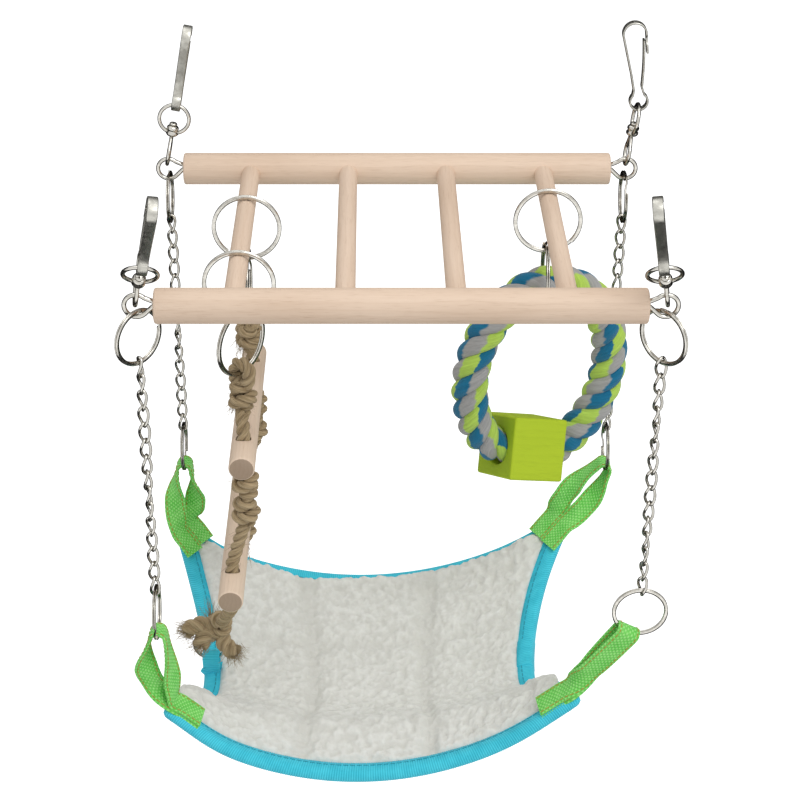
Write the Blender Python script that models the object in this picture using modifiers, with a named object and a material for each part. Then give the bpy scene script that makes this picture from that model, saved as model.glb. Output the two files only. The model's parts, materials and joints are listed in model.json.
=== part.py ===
# Small pet hanging bridge: a wooden ladder hung from four swivel snap hooks, with a fleece
# hammock on four chains, a rope ladder down to the hammock and a rope toy with a wooden block.
# Metres and degrees, +Z up. The origin is the middle of the four hooks' seats, at the height
# where the rear hooks hang on their bar.

import math

import bmesh
import bpy
import numpy as np
from mathutils import Matrix, Vector

# Gap kept between pieces that touch, and the distance at which curve ends are welded
CLEARANCE = 0.0003
WELD = 0.000003

# Ladder bridge
RAIL_LENGTH = 0.190
RAIL_DIAMETER = 0.014
RAIL_SPACING = 0.136
RAIL_EDGE = 0.0008
RUNG_DIAMETER = 0.008
RUNG_MARGIN = 0.03005
RUNG_COUNT = 4
RUNG_SEAT = 0.006

# Screw eyes in the rail ends
EYE_WIRE = 0.0019
EYE_OUTER = 0.0113
EYE_STANDOFF = 0.007
EYE_SHANK = 0.012
EYE_BEND = 45.0

# Swivels
SWIVEL_WIRE = 0.0017
SWIVEL_LOWER_OUTER = 0.0122
SWIVEL_UPPER_OUTER = 0.0148
COLLAR_DIAMETER = 0.0055
COLLAR_HEIGHT = 0.0048
RIVET_DIAMETER = 0.0036
RIVET_HEIGHT = 0.0012

# Snap hooks, bent from flat spring strip
STRIP_WIDTH = 0.004
STRIP_THICKNESS = 0.0009
HOOK_LENGTH = 0.0405
HOOK_BOW_WIDTH = 0.0108
HOOK_LOOP_WIDTH = 0.0086
HOOK_LOOP_OPENING = 80.0
HOOK_NECK_WIDTH = 0.0043
HOOK_NECK_RISE = 0.0024
HOOK_NOSE_DROP = 0.0145
GATE_TIP_DROP = 0.0085

# Split rings
SMALL_RING_OUTER = 0.0237
SMALL_RING_WIRE = 0.0017
LARGE_RING_OUTER = 0.0300
LARGE_RING_WIRE = 0.0018
TIE_RING_OUTER = 0.0165
TIE_RING_WIRE = 0.0015

# Chains
LINK_WIRE = 0.0011
LINK_LENGTH = 0.0092
LINK_WIDTH = 0.0050
LINK_COUNT = 15
LINK_BITE = 0.00012
LINK_TWIST = 90.0
LINK_TURN = 22.0

# Hammock
HAMMOCK_WIDTH = 0.180
HAMMOCK_FLARE = 0.0035
HAMMOCK_DEPTH = 0.140
HAMMOCK_SHIFT = -0.0125
HAMMOCK_FORWARD = 0.002
FRONT_SAG = 0.037
REAR_SAG = 0.032
BELLY_SAG = 0.011
SIDE_SAG = 0.033
SIDE_LEAN = 0.15
SIDE_DRAW = 0.012
END_DRAW = 0.0015
FOLD_HEIGHT = 0.006
FOLD_PLACE = -0.58
FOLD_WIDTH = 0.22
FLEECE_EDGE = 0.0014
FLEECE_LOFT = 0.0050
QUILT_PLACE = 0.34
QUILT_WIDTH = 0.09
QUILT_DEPTH = 0.0024
BACKING_THICKNESS = 0.0010
BINDING_WIDTH = 0.0085
BINDING_THICKNESS = 0.0011
BINDING_LIP = 0.0018
TAPE_ROOM = 0.0011

# Webbing loops at the hammock's corners and the tab at its left edge
WEB_WIDTH = 0.0105
WEB_THICKNESS = 0.0012
FRONT_LOOP_LENGTH = 0.0450
REAR_LOOP_LENGTH = 0.0350
WEB_SPREAD = 0.0042
WEB_ROOM = 0.0014
TAB_WIDTH = 0.0080
TAB_HEIGHT = 0.0105
TAB_CLEARANCE = 0.0018

# Rope ladder
LADDER_ROPE = 0.0050
LADDER_KNOT = 0.0112
LADDER_KNOT_HALF = 0.0085
LADDER_KNOT_NECK = 0.0058
LADDER_ROPE_LEAD = 0.0083
LADDER_RING_FRONT_Y = -0.031
LADDER_RING_REAR_Y = 0.024
LADDER_DOWEL_DIAMETER = 0.011
LADDER_DOWEL_LENGTH = 0.103
LADDER_DOWEL_BORE = 0.0074
LADDER_ROPE_SPACING = 0.069
DOWEL_1_DROP = 0.082
DOWEL_2_DROP = 0.149
DOWEL_2_SHIFT = -0.007

# Rope toy
TOY_RING_Y = 0.031
TOY_ROPE = 0.0160
TOY_WIDTH = 0.072
TOY_HEIGHT = 0.087
TOY_YAW = 25.0
TOY_BLOCK = 0.0285
TOY_BLOCK_PLACE = 14.0
TOY_BLOCK_TURN = -21.0
TOY_BLOCK_EDGE = 0.0012
TOY_BLOCK_ROOM = 0.002
TOY_BORE = 0.0172
TOY_ROPE_ROOM = 0.0006

# How many flats stand for a round
DOWEL_SIDES = 24
RUNG_SIDES = 16
HOLE_SIDES = 12
COLLAR_SIDES = 12
SHANK_SIDES = 8
RING_SEGMENTS = 18
EYE_SEGMENTS = 10
BOW_SEGMENTS = 9
STRAP_SEGMENTS = 8
LINK_POINTS = 8
ROPE_BEND_STEPS = 6
ROPE_STEPS = 3
CLOTH_COLUMNS = 16
CLOTH_ROWS = 12
TOY_ROPE_POINTS = 32

# Which side each corner is on: +1 is right or rear
CORNERS = {"fl": (-1, -1), "fr": (1, -1), "rl": (-1, 1), "rr": (1, 1)}

# How each hook happens to hang: lean tips its swivel forward, roll tips it to the right, spin turns
# the hook on the swivel, tilt bends the hook back
HOOK_LEAN = {"fl": 40.0, "fr": 40.0, "rl": 0.0, "rr": 0.0}
HOOK_ROLL = {"fl": 12.0, "fr": -11.0, "rl": 11.0, "rr": 9.0}
HOOK_SPIN = {"fl": 0.0, "fr": 0.0, "rl": 0.0, "rr": -90.0}
HOOK_TILT = {"fl": -14.0, "fr": -14.0, "rl": 6.0, "rr": 16.0}

# How each ring is turned: a ring with no yaw faces the front
UPPER_RING_YAW = {"fl": 48.0, "fr": 132.0, "rl": 90.0, "rr": 90.0}
LOWER_RING_YAW = {"fl": 90.0, "fr": 0.0, "rl": 90.0, "rr": 90.0}
ROPE_RING_FRONT_YAW = 54.0
ROPE_RING_REAR_YAW = 90.0
TOY_ROPE_RING_YAW = 90.0
TIE_RING_YAW = 0.0

# Heights that follow from the way the pieces are linked, above the ladder's own plane
EYE_RADIUS = (EYE_OUTER - EYE_WIRE) / 2
SMALL_RING_RADIUS = (SMALL_RING_OUTER - SMALL_RING_WIRE) / 2
LARGE_RING_RADIUS = (LARGE_RING_OUTER - LARGE_RING_WIRE) / 2
TIE_RING_RADIUS = (TIE_RING_OUTER - TIE_RING_WIRE) / 2
SWIVEL_LOWER_RADIUS = (SWIVEL_LOWER_OUTER - SWIVEL_WIRE) / 2
SWIVEL_UPPER_RADIUS = (SWIVEL_UPPER_OUTER - SWIVEL_WIRE) / 2


def link_gap(wire_a, wire_b):
    """Distance between the centres of two wires that hang on each other."""
    return (wire_a + wire_b) / 2 + CLEARANCE


EYE_X = RAIL_LENGTH / 2 + EYE_STANDOFF
EYE_Y = RAIL_SPACING / 2
UPPER_RING_TOP = -EYE_RADIUS + link_gap(EYE_WIRE, SMALL_RING_WIRE)
UPPER_RING_BOTTOM = UPPER_RING_TOP - 2 * SMALL_RING_RADIUS
LINK_HALF = (LINK_LENGTH - LINK_WIRE) / 2
LINK_FLATS = LINK_WIRE * math.cos(math.pi / 4)
LINK_PITCH = 2 * LINK_HALF - LINK_FLATS + LINK_BITE
CHAIN_TOP = UPPER_RING_BOTTOM + link_gap(SMALL_RING_WIRE, LINK_WIRE)
CHAIN_BOTTOM = CHAIN_TOP - 2 * LINK_HALF - (LINK_COUNT - 1) * LINK_PITCH
LOWER_RING_TOP = CHAIN_BOTTOM + link_gap(SMALL_RING_WIRE, LINK_WIRE)
LOWER_RING_BOTTOM = LOWER_RING_TOP - 2 * SMALL_RING_RADIUS
RUNG_RING_CENTRE = RUNG_DIAMETER / 2 + CLEARANCE + LARGE_RING_WIRE / 2 - LARGE_RING_RADIUS
RUNG_RING_BOTTOM = RUNG_RING_CENTRE - LARGE_RING_RADIUS
ROPE_RING_TOP = RUNG_RING_BOTTOM + link_gap(LARGE_RING_WIRE, LARGE_RING_WIRE)
ROPE_RING_BOTTOM = ROPE_RING_TOP - 2 * LARGE_RING_RADIUS

# Along a swivel's own axis, from the top of the screw eye's wire
SWIVEL_EYE_BOTTOM = -link_gap(EYE_WIRE, SWIVEL_WIRE)
SWIVEL_EYE_CENTRE = SWIVEL_EYE_BOTTOM + SWIVEL_LOWER_RADIUS
SWIVEL_STEM_START = SWIVEL_EYE_CENTRE + SWIVEL_LOWER_RADIUS / math.cos(math.radians(EYE_BEND))
COLLAR_BOTTOM = SWIVEL_STEM_START + SWIVEL_WIRE / 2
COLLAR_TOP = COLLAR_BOTTOM + COLLAR_HEIGHT
UPPER_EYE_CENTRE = COLLAR_BOTTOM + COLLAR_HEIGHT / 4 + SWIVEL_UPPER_RADIUS
UPPER_EYE_TOP = UPPER_EYE_CENTRE + SWIVEL_UPPER_RADIUS
RIVET_BOTTOM = COLLAR_TOP + CLEARANCE

# Along a hook, from the wire that its lower loop hangs on
HOOK_LOOP_RADIUS = (HOOK_LOOP_WIDTH - STRIP_THICKNESS) / 2
HOOK_BOW_RADIUS = (HOOK_BOW_WIDTH - STRIP_THICKNESS) / 2
HOOK_NECK_HALF = (HOOK_NECK_WIDTH - STRIP_THICKNESS) / 2
HOOK_EYE_DROP = SWIVEL_UPPER_RADIUS - math.sqrt(SWIVEL_UPPER_RADIUS**2 - (STRIP_WIDTH / 2) ** 2)
HOOK_LOOP_CENTRE = HOOK_LOOP_RADIUS - link_gap(SWIVEL_WIRE, STRIP_THICKNESS) - HOOK_EYE_DROP
HOOK_TOP = HOOK_LOOP_CENTRE - HOOK_LOOP_RADIUS - STRIP_THICKNESS / 2 + HOOK_LENGTH
HOOK_BOW_CENTRE = HOOK_TOP - STRIP_THICKNESS / 2 - HOOK_BOW_RADIUS
HOOK_NECK = HOOK_LOOP_CENTRE + HOOK_LOOP_RADIUS + HOOK_NECK_RISE
HOOK_SEAT = HOOK_TOP - STRIP_THICKNESS
HANG_HEIGHT = EYE_RADIUS + UPPER_EYE_TOP + HOOK_SEAT

# Scene, collections and materials
for old in list(bpy.data.objects):
    bpy.data.objects.remove(old, do_unlink=True)

parts = bpy.data.collections.new("small_pet_hanging_bridge")
cutters = bpy.data.collections.new("cutters")
bpy.context.scene.collection.children.link(parts)
bpy.context.scene.collection.children.link(cutters)


def make_material(name, colour, roughness, metallic=0.0):
    """A Principled material of one colour."""
    material = bpy.data.materials.new(name)
    material.use_nodes = True
    shader = material.node_tree.nodes["Principled BSDF"]
    shader.inputs["Base Color"].default_value = (*colour, 1.0)
    shader.inputs["Roughness"].default_value = roughness
    shader.inputs["Metallic"].default_value = metallic
    return material


PALE_WOOD = make_material("pale_wood", (0.72, 0.55, 0.41), 0.60)
NICKEL = make_material("nickel_plate", (0.62, 0.60, 0.57), 0.25, 1.0)
SPRING_STEEL = make_material("spring_steel", (0.55, 0.54, 0.52), 0.30, 1.0)
FLEECE = make_material("white_fleece", (0.84, 0.83, 0.79), 0.95)
BACKING = make_material("white_backing", (0.80, 0.80, 0.78), 0.90)
BLUE_TAPE = make_material("blue_tape", (0.04, 0.45, 0.66), 0.80)
GREEN_WEB = make_material("green_webbing", (0.13, 0.58, 0.09), 0.75)
JUTE = make_material("jute_rope", (0.40, 0.30, 0.18), 0.95)
COTTON = make_material("cotton_rope", (0.40, 0.66, 0.22), 0.90)
LIME_WOOD = make_material("lime_wood", (0.36, 0.52, 0.03), 0.55)


# Building helpers
def add_object(name, data, material, parent=None, matrix=None):
    """Link a named piece into the parts collection, under its joint empty."""
    piece = bpy.data.objects.new(name, data)
    parts.objects.link(piece)
    piece.data.materials.clear()
    piece.data.materials.append(material)
    piece.parent = parent
    if matrix is not None:
        piece.matrix_basis = matrix
    return piece


def add_empty(name, parent=None, matrix=None):
    """A joint or frame empty."""
    empty = bpy.data.objects.new(name, None)
    parts.objects.link(empty)
    empty.empty_display_size = RUNG_DIAMETER
    empty.parent = parent
    if matrix is not None:
        empty.matrix_basis = matrix
    return empty


def wire_curve(name, points, diameter, cyclic=False, swell=None, resolution=1):
    """A bent wire or cord: a POLY spline with a round section. Swell scales the section by point."""
    curve = bpy.data.curves.new(name, "CURVE")
    curve.dimensions = "3D"
    curve.bevel_depth = diameter / 2
    curve.bevel_resolution = resolution
    curve.use_fill_caps = not cyclic
    spline = curve.splines.new("POLY")
    spline.points.add(len(points) - 1)
    for index, point in enumerate(points):
        spline.points[index].co = (*point, 1.0)
        spline.points[index].radius = swell[index] if swell else 1.0
    spline.use_cyclic_u = cyclic
    return curve


def flat_curve(name, outlines, thickness):
    """A flat closed outline, extruded to its thickness along its own Z."""
    curve = bpy.data.curves.new(name, "CURVE")
    curve.dimensions = "2D"
    curve.fill_mode = "BOTH"
    curve.extrude = thickness / 2
    for outline in outlines:
        spline = curve.splines.new("POLY")
        spline.points.add(len(outline) - 1)
        for index, (across, up) in enumerate(outline):
            spline.points[index].co = (across, up, 0.0, 1.0)
        spline.use_cyclic_u = True
    return curve


def curve_mesh(curve):
    """The welded mesh of a curve, for pieces that are cut or joined."""
    holder = bpy.data.objects.new("holder", curve)
    bpy.context.scene.collection.objects.link(holder)
    depsgraph = bpy.context.evaluated_depsgraph_get()
    mesh = bpy.data.meshes.new_from_object(holder.evaluated_get(depsgraph))
    bpy.data.objects.remove(holder, do_unlink=True)
    work = bmesh.new()
    work.from_mesh(mesh)
    bmesh.ops.remove_doubles(work, verts=work.verts, dist=WELD)
    bmesh.ops.recalc_face_normals(work, faces=work.faces)
    work.to_mesh(mesh)
    work.free()
    return mesh


def cylinder_mesh(name, diameter, length, sides=DOWEL_SIDES):
    """A closed cylinder along Z, centred on the origin."""
    mesh = bpy.data.meshes.new(name)
    work = bmesh.new()
    bmesh.ops.create_cone(
        work, cap_ends=True, segments=sides, radius1=diameter / 2, radius2=diameter / 2, depth=length
    )
    work.to_mesh(mesh)
    work.free()
    return mesh


def smooth(piece, angle=50.0):
    """Shade a round piece smooth, with its edges kept sharp."""
    piece.data.shade_smooth()
    piece.data.set_sharp_from_angle(angle=math.radians(angle))


def add_bevel(piece, width):
    """Ease the sharp edges."""
    bevel = piece.modifiers.new("eased_edges", "BEVEL")
    bevel.width = width
    bevel.segments = 1
    bevel.limit_method = "ANGLE"
    return bevel


def add_cutter(name, mesh, parent, matrix):
    """A guide solid that is cut out of a piece and never shown."""
    cutter = bpy.data.objects.new(name, mesh)
    cutters.objects.link(cutter)
    cutter.hide_render = True
    cutter.display_type = "WIRE"
    cutter.parent = parent
    cutter.matrix_basis = matrix
    return cutter


def add_cut(piece, cutter):
    """Cut a guide solid out of a piece."""
    cut = piece.modifiers.new(cutter.name, "BOOLEAN")
    cut.operation = "DIFFERENCE"
    cut.solver = "EXACT"
    cut.object = cutter
    return cut


def turn(axis, degrees):
    """A rotation matrix."""
    return Matrix.Rotation(math.radians(degrees), 4, axis)


def move(x, y, z):
    """A translation matrix."""
    return Matrix.Translation((x, y, z))


def arc(centre, radius, start, end, steps):
    """Points on an arc, in a flat drawing, from one angle to another."""
    points = []
    for step in range(steps + 1):
        angle = math.radians(start + (end - start) * step / steps)
        points.append((centre[0] + radius * math.cos(angle), centre[1] + radius * math.sin(angle)))
    return points


def ring_curve(name, outer, wire):
    """A ring in the XZ plane, facing the front, centred on the origin."""
    radius = (outer - wire) / 2
    points = [
        (radius * math.cos(angle), 0.0, radius * math.sin(angle))
        for angle in np.linspace(0.0, 2 * math.pi, RING_SEGMENTS, endpoint=False)
    ]
    return wire_curve(name, points, wire, cyclic=True, resolution=0)


def strip_outline(path, thickness):
    """The outline of a bent strip of even thickness along a flat path."""
    path = [Vector(point) for point in path]
    left = []
    right = []
    for index, point in enumerate(path):
        before = path[max(index - 1, 0)]
        after = path[min(index + 1, len(path) - 1)]
        arrive = (point - before).normalized() if index else (after - point).normalized()
        leave = (after - point).normalized() if index < len(path) - 1 else arrive
        along = (arrive + leave).normalized()
        reach = thickness / 2 / along.dot(arrive)
        side = Vector((-along.y, along.x)) * reach
        left.append(tuple(point + side))
        right.append(tuple(point - side))
    return left + right[::-1]


def loft_mesh(name, loops, closed_around, closed_along):
    """Quads between matching loops of points. An open loft gets end caps."""
    mesh = bpy.data.meshes.new(name)
    work = bmesh.new()
    rows = [[work.verts.new(point) for point in loop] for loop in loops]
    pairs = list(zip(rows, rows[1:]))
    if closed_along:
        pairs.append((rows[-1], rows[0]))
    count = len(loops[0])
    for first, second in pairs:
        for index in range(count if closed_around else count - 1):
            other = (index + 1) % count
            work.faces.new((first[index], first[other], second[other], second[index]))
    if not closed_along:
        work.faces.new(rows[0])
        work.faces.new(rows[-1])
    bmesh.ops.recalc_face_normals(work, faces=work.faces)
    work.to_mesh(mesh)
    work.free()
    return mesh


# The ladder's own plane, below the hooks' seats
ladder = add_empty("ladder_plane", matrix=move(0.0, 0.0, -HANG_HEIGHT))


# Rails and rungs: round dowels, the rungs seated in blind holes in both rails
rung_places = np.linspace(-1.0, 1.0, RUNG_COUNT) * (RAIL_LENGTH / 2 - RUNG_MARGIN)
rung_reach = RAIL_SPACING / 2 - RAIL_DIAMETER / 2 + RUNG_SEAT
along_x = turn("Y", 90.0)
along_y = turn("X", 90.0)

for side_name, side in (("front", -1), ("rear", 1)):
    rail = add_object(
        f"rail_{side_name}",
        cylinder_mesh("rail", RAIL_DIAMETER, RAIL_LENGTH),
        PALE_WOOD,
        ladder,
        move(0.0, side * RAIL_SPACING / 2, 0.0) @ along_x,
    )
    smooth(rail)
    add_bevel(rail, RAIL_EDGE)
    seat_mesh = cylinder_mesh("rung_seats", RUNG_DIAMETER + 2 * CLEARANCE, 2 * (rung_reach + CLEARANCE))
    for index, x in enumerate(rung_places):
        at_rung = move(x, 0.0, 0.0) @ along_y
        add_cut(rail, add_cutter(f"rung_seat_{side_name}_{index + 1}", seat_mesh, ladder, at_rung))
    bore = cylinder_mesh("shank_bore", EYE_WIRE + 2 * CLEARANCE, 2 * (EYE_SHANK + CLEARANCE), SHANK_SIDES)
    for end in (-1, 1):
        at_end = move(end * RAIL_LENGTH / 2, side * RAIL_SPACING / 2, 0.0) @ along_x
        add_cut(rail, add_cutter(f"shank_bore_{side_name}_{end}", bore, ladder, at_end))

for index, x in enumerate(rung_places):
    rung = add_object(
        f"rung_{index + 1}",
        cylinder_mesh("rung", RUNG_DIAMETER, 2 * rung_reach, RUNG_SIDES),
        PALE_WOOD,
        ladder,
        move(x, 0.0, 0.0) @ along_y,
    )
    smooth(rung)


def eye_path(radius, shank, wire):
    """A shank along -X that opens into an eye centred on the origin, in the XZ plane. The eye's end
    stops just short of the shank."""
    bend = -radius / math.cos(math.radians(EYE_BEND))
    closing = 180.0 - math.degrees(math.asin((wire + 2 * CLEARANCE) / (2 * radius)))
    points = [(bend - shank, 0.0), (bend, 0.0)]
    points += arc((0.0, 0.0), radius, EYE_BEND - 180.0, closing, EYE_SEGMENTS)
    return [(across, 0.0, up) for across, up in points]


# Screw eyes: wire bent to an eye, its shank in the end grain
screw_shank = EYE_SHANK + EYE_STANDOFF - EYE_RADIUS / math.cos(math.radians(EYE_BEND))
screw_eye_curve = wire_curve("screw_eye", eye_path(EYE_RADIUS, screw_shank, EYE_WIRE), EYE_WIRE)

for corner, (side_x, side_y) in CORNERS.items():
    outward = turn("Z", 90.0 - 90.0 * side_x)
    at_rail_end = move(side_x * EYE_X, side_y * EYE_Y, 0.0) @ outward
    add_object(f"screw_eye_{corner}", screw_eye_curve, NICKEL, ladder, at_rail_end)


def swivel_base_curve():
    """Lower eye, stem and rivet head, along Z, with the lower eye in the YZ plane."""
    head_top = RIVET_BOTTOM + RIVET_HEIGHT
    stem = head_top - SWIVEL_STEM_START
    bent = eye_path(SWIVEL_LOWER_RADIUS, stem, SWIVEL_WIRE)
    points = [(0.0, up, SWIVEL_EYE_CENTRE - across) for across, _, up in bent]
    under_head = [(0.0, 0.0, RIVET_BOTTOM), (0.0, 0.0, RIVET_BOTTOM - CLEARANCE / 2)]
    fat = RIVET_DIAMETER / SWIVEL_WIRE
    swell = [fat, fat, 1.0] + [1.0] * (len(points) - 1)
    return wire_curve("swivel_base", points[:1] + under_head + points[1:], SWIVEL_WIRE, swell=swell)


def swivel_eye_mesh():
    """A drilled collar with a wire eye standing on it, in the XZ plane."""
    eye = curve_mesh(ring_curve("upper_eye", SWIVEL_UPPER_OUTER, SWIVEL_WIRE))
    eye.transform(move(0.0, 0.0, UPPER_EYE_CENTRE))
    collar = cylinder_mesh("collar", COLLAR_DIAMETER, COLLAR_HEIGHT, COLLAR_SIDES)
    collar.transform(move(0.0, 0.0, (COLLAR_BOTTOM + COLLAR_TOP) / 2) @ turn("Z", 180.0 / COLLAR_SIDES))
    bore_length = 2 * COLLAR_HEIGHT
    bore = cylinder_mesh("collar_bore", SWIVEL_WIRE + 2 * CLEARANCE, bore_length, SHANK_SIDES)
    bore.transform(move(0.0, 0.0, (COLLAR_BOTTOM + COLLAR_TOP) / 2))
    return boolean_mesh(boolean_mesh(collar, eye, "UNION"), bore)


def boolean_mesh(base, tool, operation="DIFFERENCE"):
    """The finished mesh of one solid joined with, or cut by, another."""
    holder = bpy.data.objects.new("base", base)
    other = bpy.data.objects.new("tool", tool)
    for item in (holder, other):
        bpy.context.scene.collection.objects.link(item)
    modifier = holder.modifiers.new("join", "BOOLEAN")
    modifier.operation = operation
    modifier.solver = "EXACT"
    modifier.object = other
    depsgraph = bpy.context.evaluated_depsgraph_get()
    mesh = bpy.data.meshes.new_from_object(holder.evaluated_get(depsgraph))
    for item in (holder, other):
        bpy.data.objects.remove(item, do_unlink=True)
    return mesh


def hook_path():
    """The strip's middle line, from the neck round the lower loop, up the back and over to the nose."""
    first = 90.0 - HOOK_LOOP_OPENING / 2
    last = HOOK_LOOP_OPENING / 2 - 270.0
    loop = arc((0.0, HOOK_LOOP_CENTRE), HOOK_LOOP_RADIUS, first, last, EYE_SEGMENTS)
    bow = arc((0.0, HOOK_BOW_CENTRE), HOOK_BOW_RADIUS, 180.0, 0.0, BOW_SEGMENTS)
    nose = (HOOK_BOW_RADIUS, HOOK_TOP - HOOK_NOSE_DROP)
    return [(HOOK_NECK_HALF, HOOK_NECK)] + loop + [(-HOOK_NECK_HALF, HOOK_NECK)] + bow + [nose]


def gate_path():
    """The springy leg, from the neck up to its tip inside the nose."""
    tip_across = HOOK_BOW_RADIUS - STRIP_THICKNESS - CLEARANCE
    return [(HOOK_NECK_HALF, HOOK_NECK + CLEARANCE), (tip_across, HOOK_TOP - GATE_TIP_DROP)]


# Snap hooks on their swivels, as they hang in use
hook_curve = flat_curve("snap_hook", [strip_outline(hook_path(), STRIP_THICKNESS)], STRIP_WIDTH)
gate_curve = flat_curve("snap_gate", [strip_outline(gate_path(), STRIP_THICKNESS)], STRIP_WIDTH)
swivel_curve = swivel_base_curve()
eye_mesh = swivel_eye_mesh()
stand_up = turn("Z", 90.0) @ turn("X", 90.0)

for corner, (side_x, side_y) in CORNERS.items():
    at_eye = move(side_x * EYE_X, side_y * EYE_Y, EYE_RADIUS) @ turn("X", HOOK_LEAN[corner])
    lean = add_empty(f"hook_lean_{corner}", ladder, at_eye)
    add_object(f"swivel_base_{corner}", swivel_curve, NICKEL, lean, turn("Y", HOOK_ROLL[corner]))
    on_stem = turn("Y", HOOK_ROLL[corner]) @ turn("Z", HOOK_SPIN[corner])
    spin = add_empty(f"swivel_spin_{corner}", lean, on_stem)
    smooth(add_object(f"swivel_eye_{corner}", eye_mesh, NICKEL, spin))
    at_upper_eye = move(0.0, 0.0, UPPER_EYE_TOP) @ turn("X", HOOK_TILT[corner])
    tilt = add_empty(f"hook_tilt_{corner}", spin, at_upper_eye)
    add_object(f"snap_hook_{corner}", hook_curve, SPRING_STEEL, tilt, stand_up)
    gate = add_empty(f"gate_flex_{corner}", tilt, move(0.0, HOOK_NECK_HALF, HOOK_NECK))
    at_gate = move(0.0, -HOOK_NECK_HALF, -HOOK_NECK) @ stand_up
    add_object(f"snap_gate_{corner}", gate_curve, SPRING_STEEL, gate, at_gate)


def link_points(turned):
    """One curb link about its own centre: an oval, twisted along its length."""
    half_width = (LINK_WIDTH - LINK_WIRE) / 2
    points = []
    for index in range(LINK_POINTS):
        angle = 2 * math.pi * (index + 0.5) / LINK_POINTS
        across = half_width * math.cos(angle) / math.cos(math.pi / LINK_POINTS)
        up = LINK_HALF * math.sin(angle) / math.cos(math.pi / LINK_POINTS)
        twist = math.radians(turned + LINK_TWIST / 2 * up / LINK_HALF)
        points.append((across * math.cos(twist), across * math.sin(twist), up))
    return points


def chain_mesh(upper_yaw, lower_yaw):
    """All the links of a chain, each biting a little into the next, from the first link's top down.
    The chain turns on itself so that both end links cross their rings squarely."""
    square = lower_yaw - upper_yaw + LINK_TWIST
    half_turns = round((LINK_TURN * (LINK_COUNT - 1) - square) / 180.0)
    each_turn = (square + 180.0 * half_turns) / (LINK_COUNT - 1)
    halves = []
    for first in (0, 1):
        work = bmesh.new()
        for index in range(first, LINK_COUNT, 2):
            link = link_points(index * each_turn)
            mesh = curve_mesh(wire_curve("link", link, LINK_WIRE, cyclic=True, resolution=0))
            mesh.transform(move(0.0, 0.0, -LINK_HALF - index * LINK_PITCH))
            work.from_mesh(mesh)
        half = bpy.data.meshes.new("links")
        work.to_mesh(half)
        work.free()
        halves.append(half)
    return boolean_mesh(halves[0], halves[1], "UNION")


# Chains: a ring on the screw eye, the links, and a ring on the hammock's loop
small_ring_curve = ring_curve("small_ring", SMALL_RING_OUTER, SMALL_RING_WIRE)
ring_hangs = {}

for corner, (side_x, side_y) in CORNERS.items():
    upper_yaw = UPPER_RING_YAW[corner]
    lower_yaw = LOWER_RING_YAW[corner]
    swing = add_empty(f"ring_swing_{corner}", ladder, move(side_x * EYE_X, side_y * EYE_Y, -EYE_RADIUS))
    at_ring = move(0.0, 0.0, UPPER_RING_TOP + EYE_RADIUS - SMALL_RING_RADIUS) @ turn("Z", upper_yaw)
    add_object(f"upper_ring_{corner}", small_ring_curve, NICKEL, swing, at_ring)
    sway = add_empty(f"chain_sway_{corner}", swing, move(0.0, 0.0, UPPER_RING_BOTTOM + EYE_RADIUS))
    first_turn = turn("Z", upper_yaw + 90.0 - LINK_TWIST / 2)
    at_chain = move(0.0, 0.0, CHAIN_TOP - UPPER_RING_BOTTOM) @ first_turn
    add_object(f"chain_{corner}", chain_mesh(upper_yaw, lower_yaw), NICKEL, sway, at_chain)
    hang = add_empty(f"lower_ring_sway_{corner}", sway, move(0.0, 0.0, LOWER_RING_TOP - UPPER_RING_BOTTOM))
    at_ring = move(0.0, 0.0, -SMALL_RING_RADIUS) @ turn("Z", lower_yaw)
    add_object(f"lower_ring_{corner}", small_ring_curve, NICKEL, hang, at_ring)
    ring_hangs[corner] = hang


# Hammock cloth: a sheet pulled up at its corners, its edges drawn in, with a fold along the front
def hammock_corner(side_x, side_y):
    """Where a corner of the cloth hangs, on a loop under its ring: the more its loop slants, the
    higher the corner. The cloth is wider at the rear than at the front."""
    x = HAMMOCK_SHIFT + side_x * (HAMMOCK_WIDTH / 2 + side_y * HAMMOCK_FLARE)
    y = side_y * HAMMOCK_DEPTH / 2 - HAMMOCK_FORWARD
    away = math.hypot(side_x * EYE_X - x, side_y * EYE_Y - y)
    loop = FRONT_LOOP_LENGTH if side_y < 0 else REAR_LOOP_LENGTH
    return Vector((x, y, LOWER_RING_BOTTOM - loop**2 / math.hypot(loop, away)))


def cloth_point(u, v):
    """A point of the cloth's middle surface: u runs left to right and v front to rear, -1 to 1."""
    left = hammock_corner(-1, -1).lerp(hammock_corner(-1, 1), (v + 1) / 2)
    right = hammock_corner(1, -1).lerp(hammock_corner(1, 1), (v + 1) / 2)
    point = left.lerp(right, (u + 1) / 2)
    span_u = 1 - u * u
    span_v = 1 - v * v
    end_sag = FRONT_SAG + (REAR_SAG - FRONT_SAG) * (v + 1) / 2
    side_sag = SIDE_SAG * span_v * (1 - SIDE_LEAN * v)
    point.z -= end_sag * span_u + BELLY_SAG * span_u * span_v + side_sag * u * u
    point.z += FOLD_HEIGHT * span_u * math.exp(-(((v - FOLD_PLACE) / FOLD_WIDTH) ** 2))
    point.x -= SIDE_DRAW * u * span_v
    point.y -= END_DRAW * v * span_u
    return point


def cloth_normal(u, v):
    """The cloth's upward direction."""
    step = 1.0e-3
    along_u = cloth_point(u + step, v) - cloth_point(u - step, v)
    along_v = cloth_point(u, v + step) - cloth_point(u, v - step)
    return along_u.cross(along_v).normalized()


def cloth_offset(u, v, height):
    """A point above or below the cloth's middle surface."""
    return cloth_point(u, v) + cloth_normal(u, v) * height


def inset(width, span):
    """How far out along a span of cloth the line is that runs a width inside the edge, 0 to 1."""
    return 1 - 2 * width / span


PILE_INSET = BINDING_WIDTH + 2 * CLEARANCE


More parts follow.
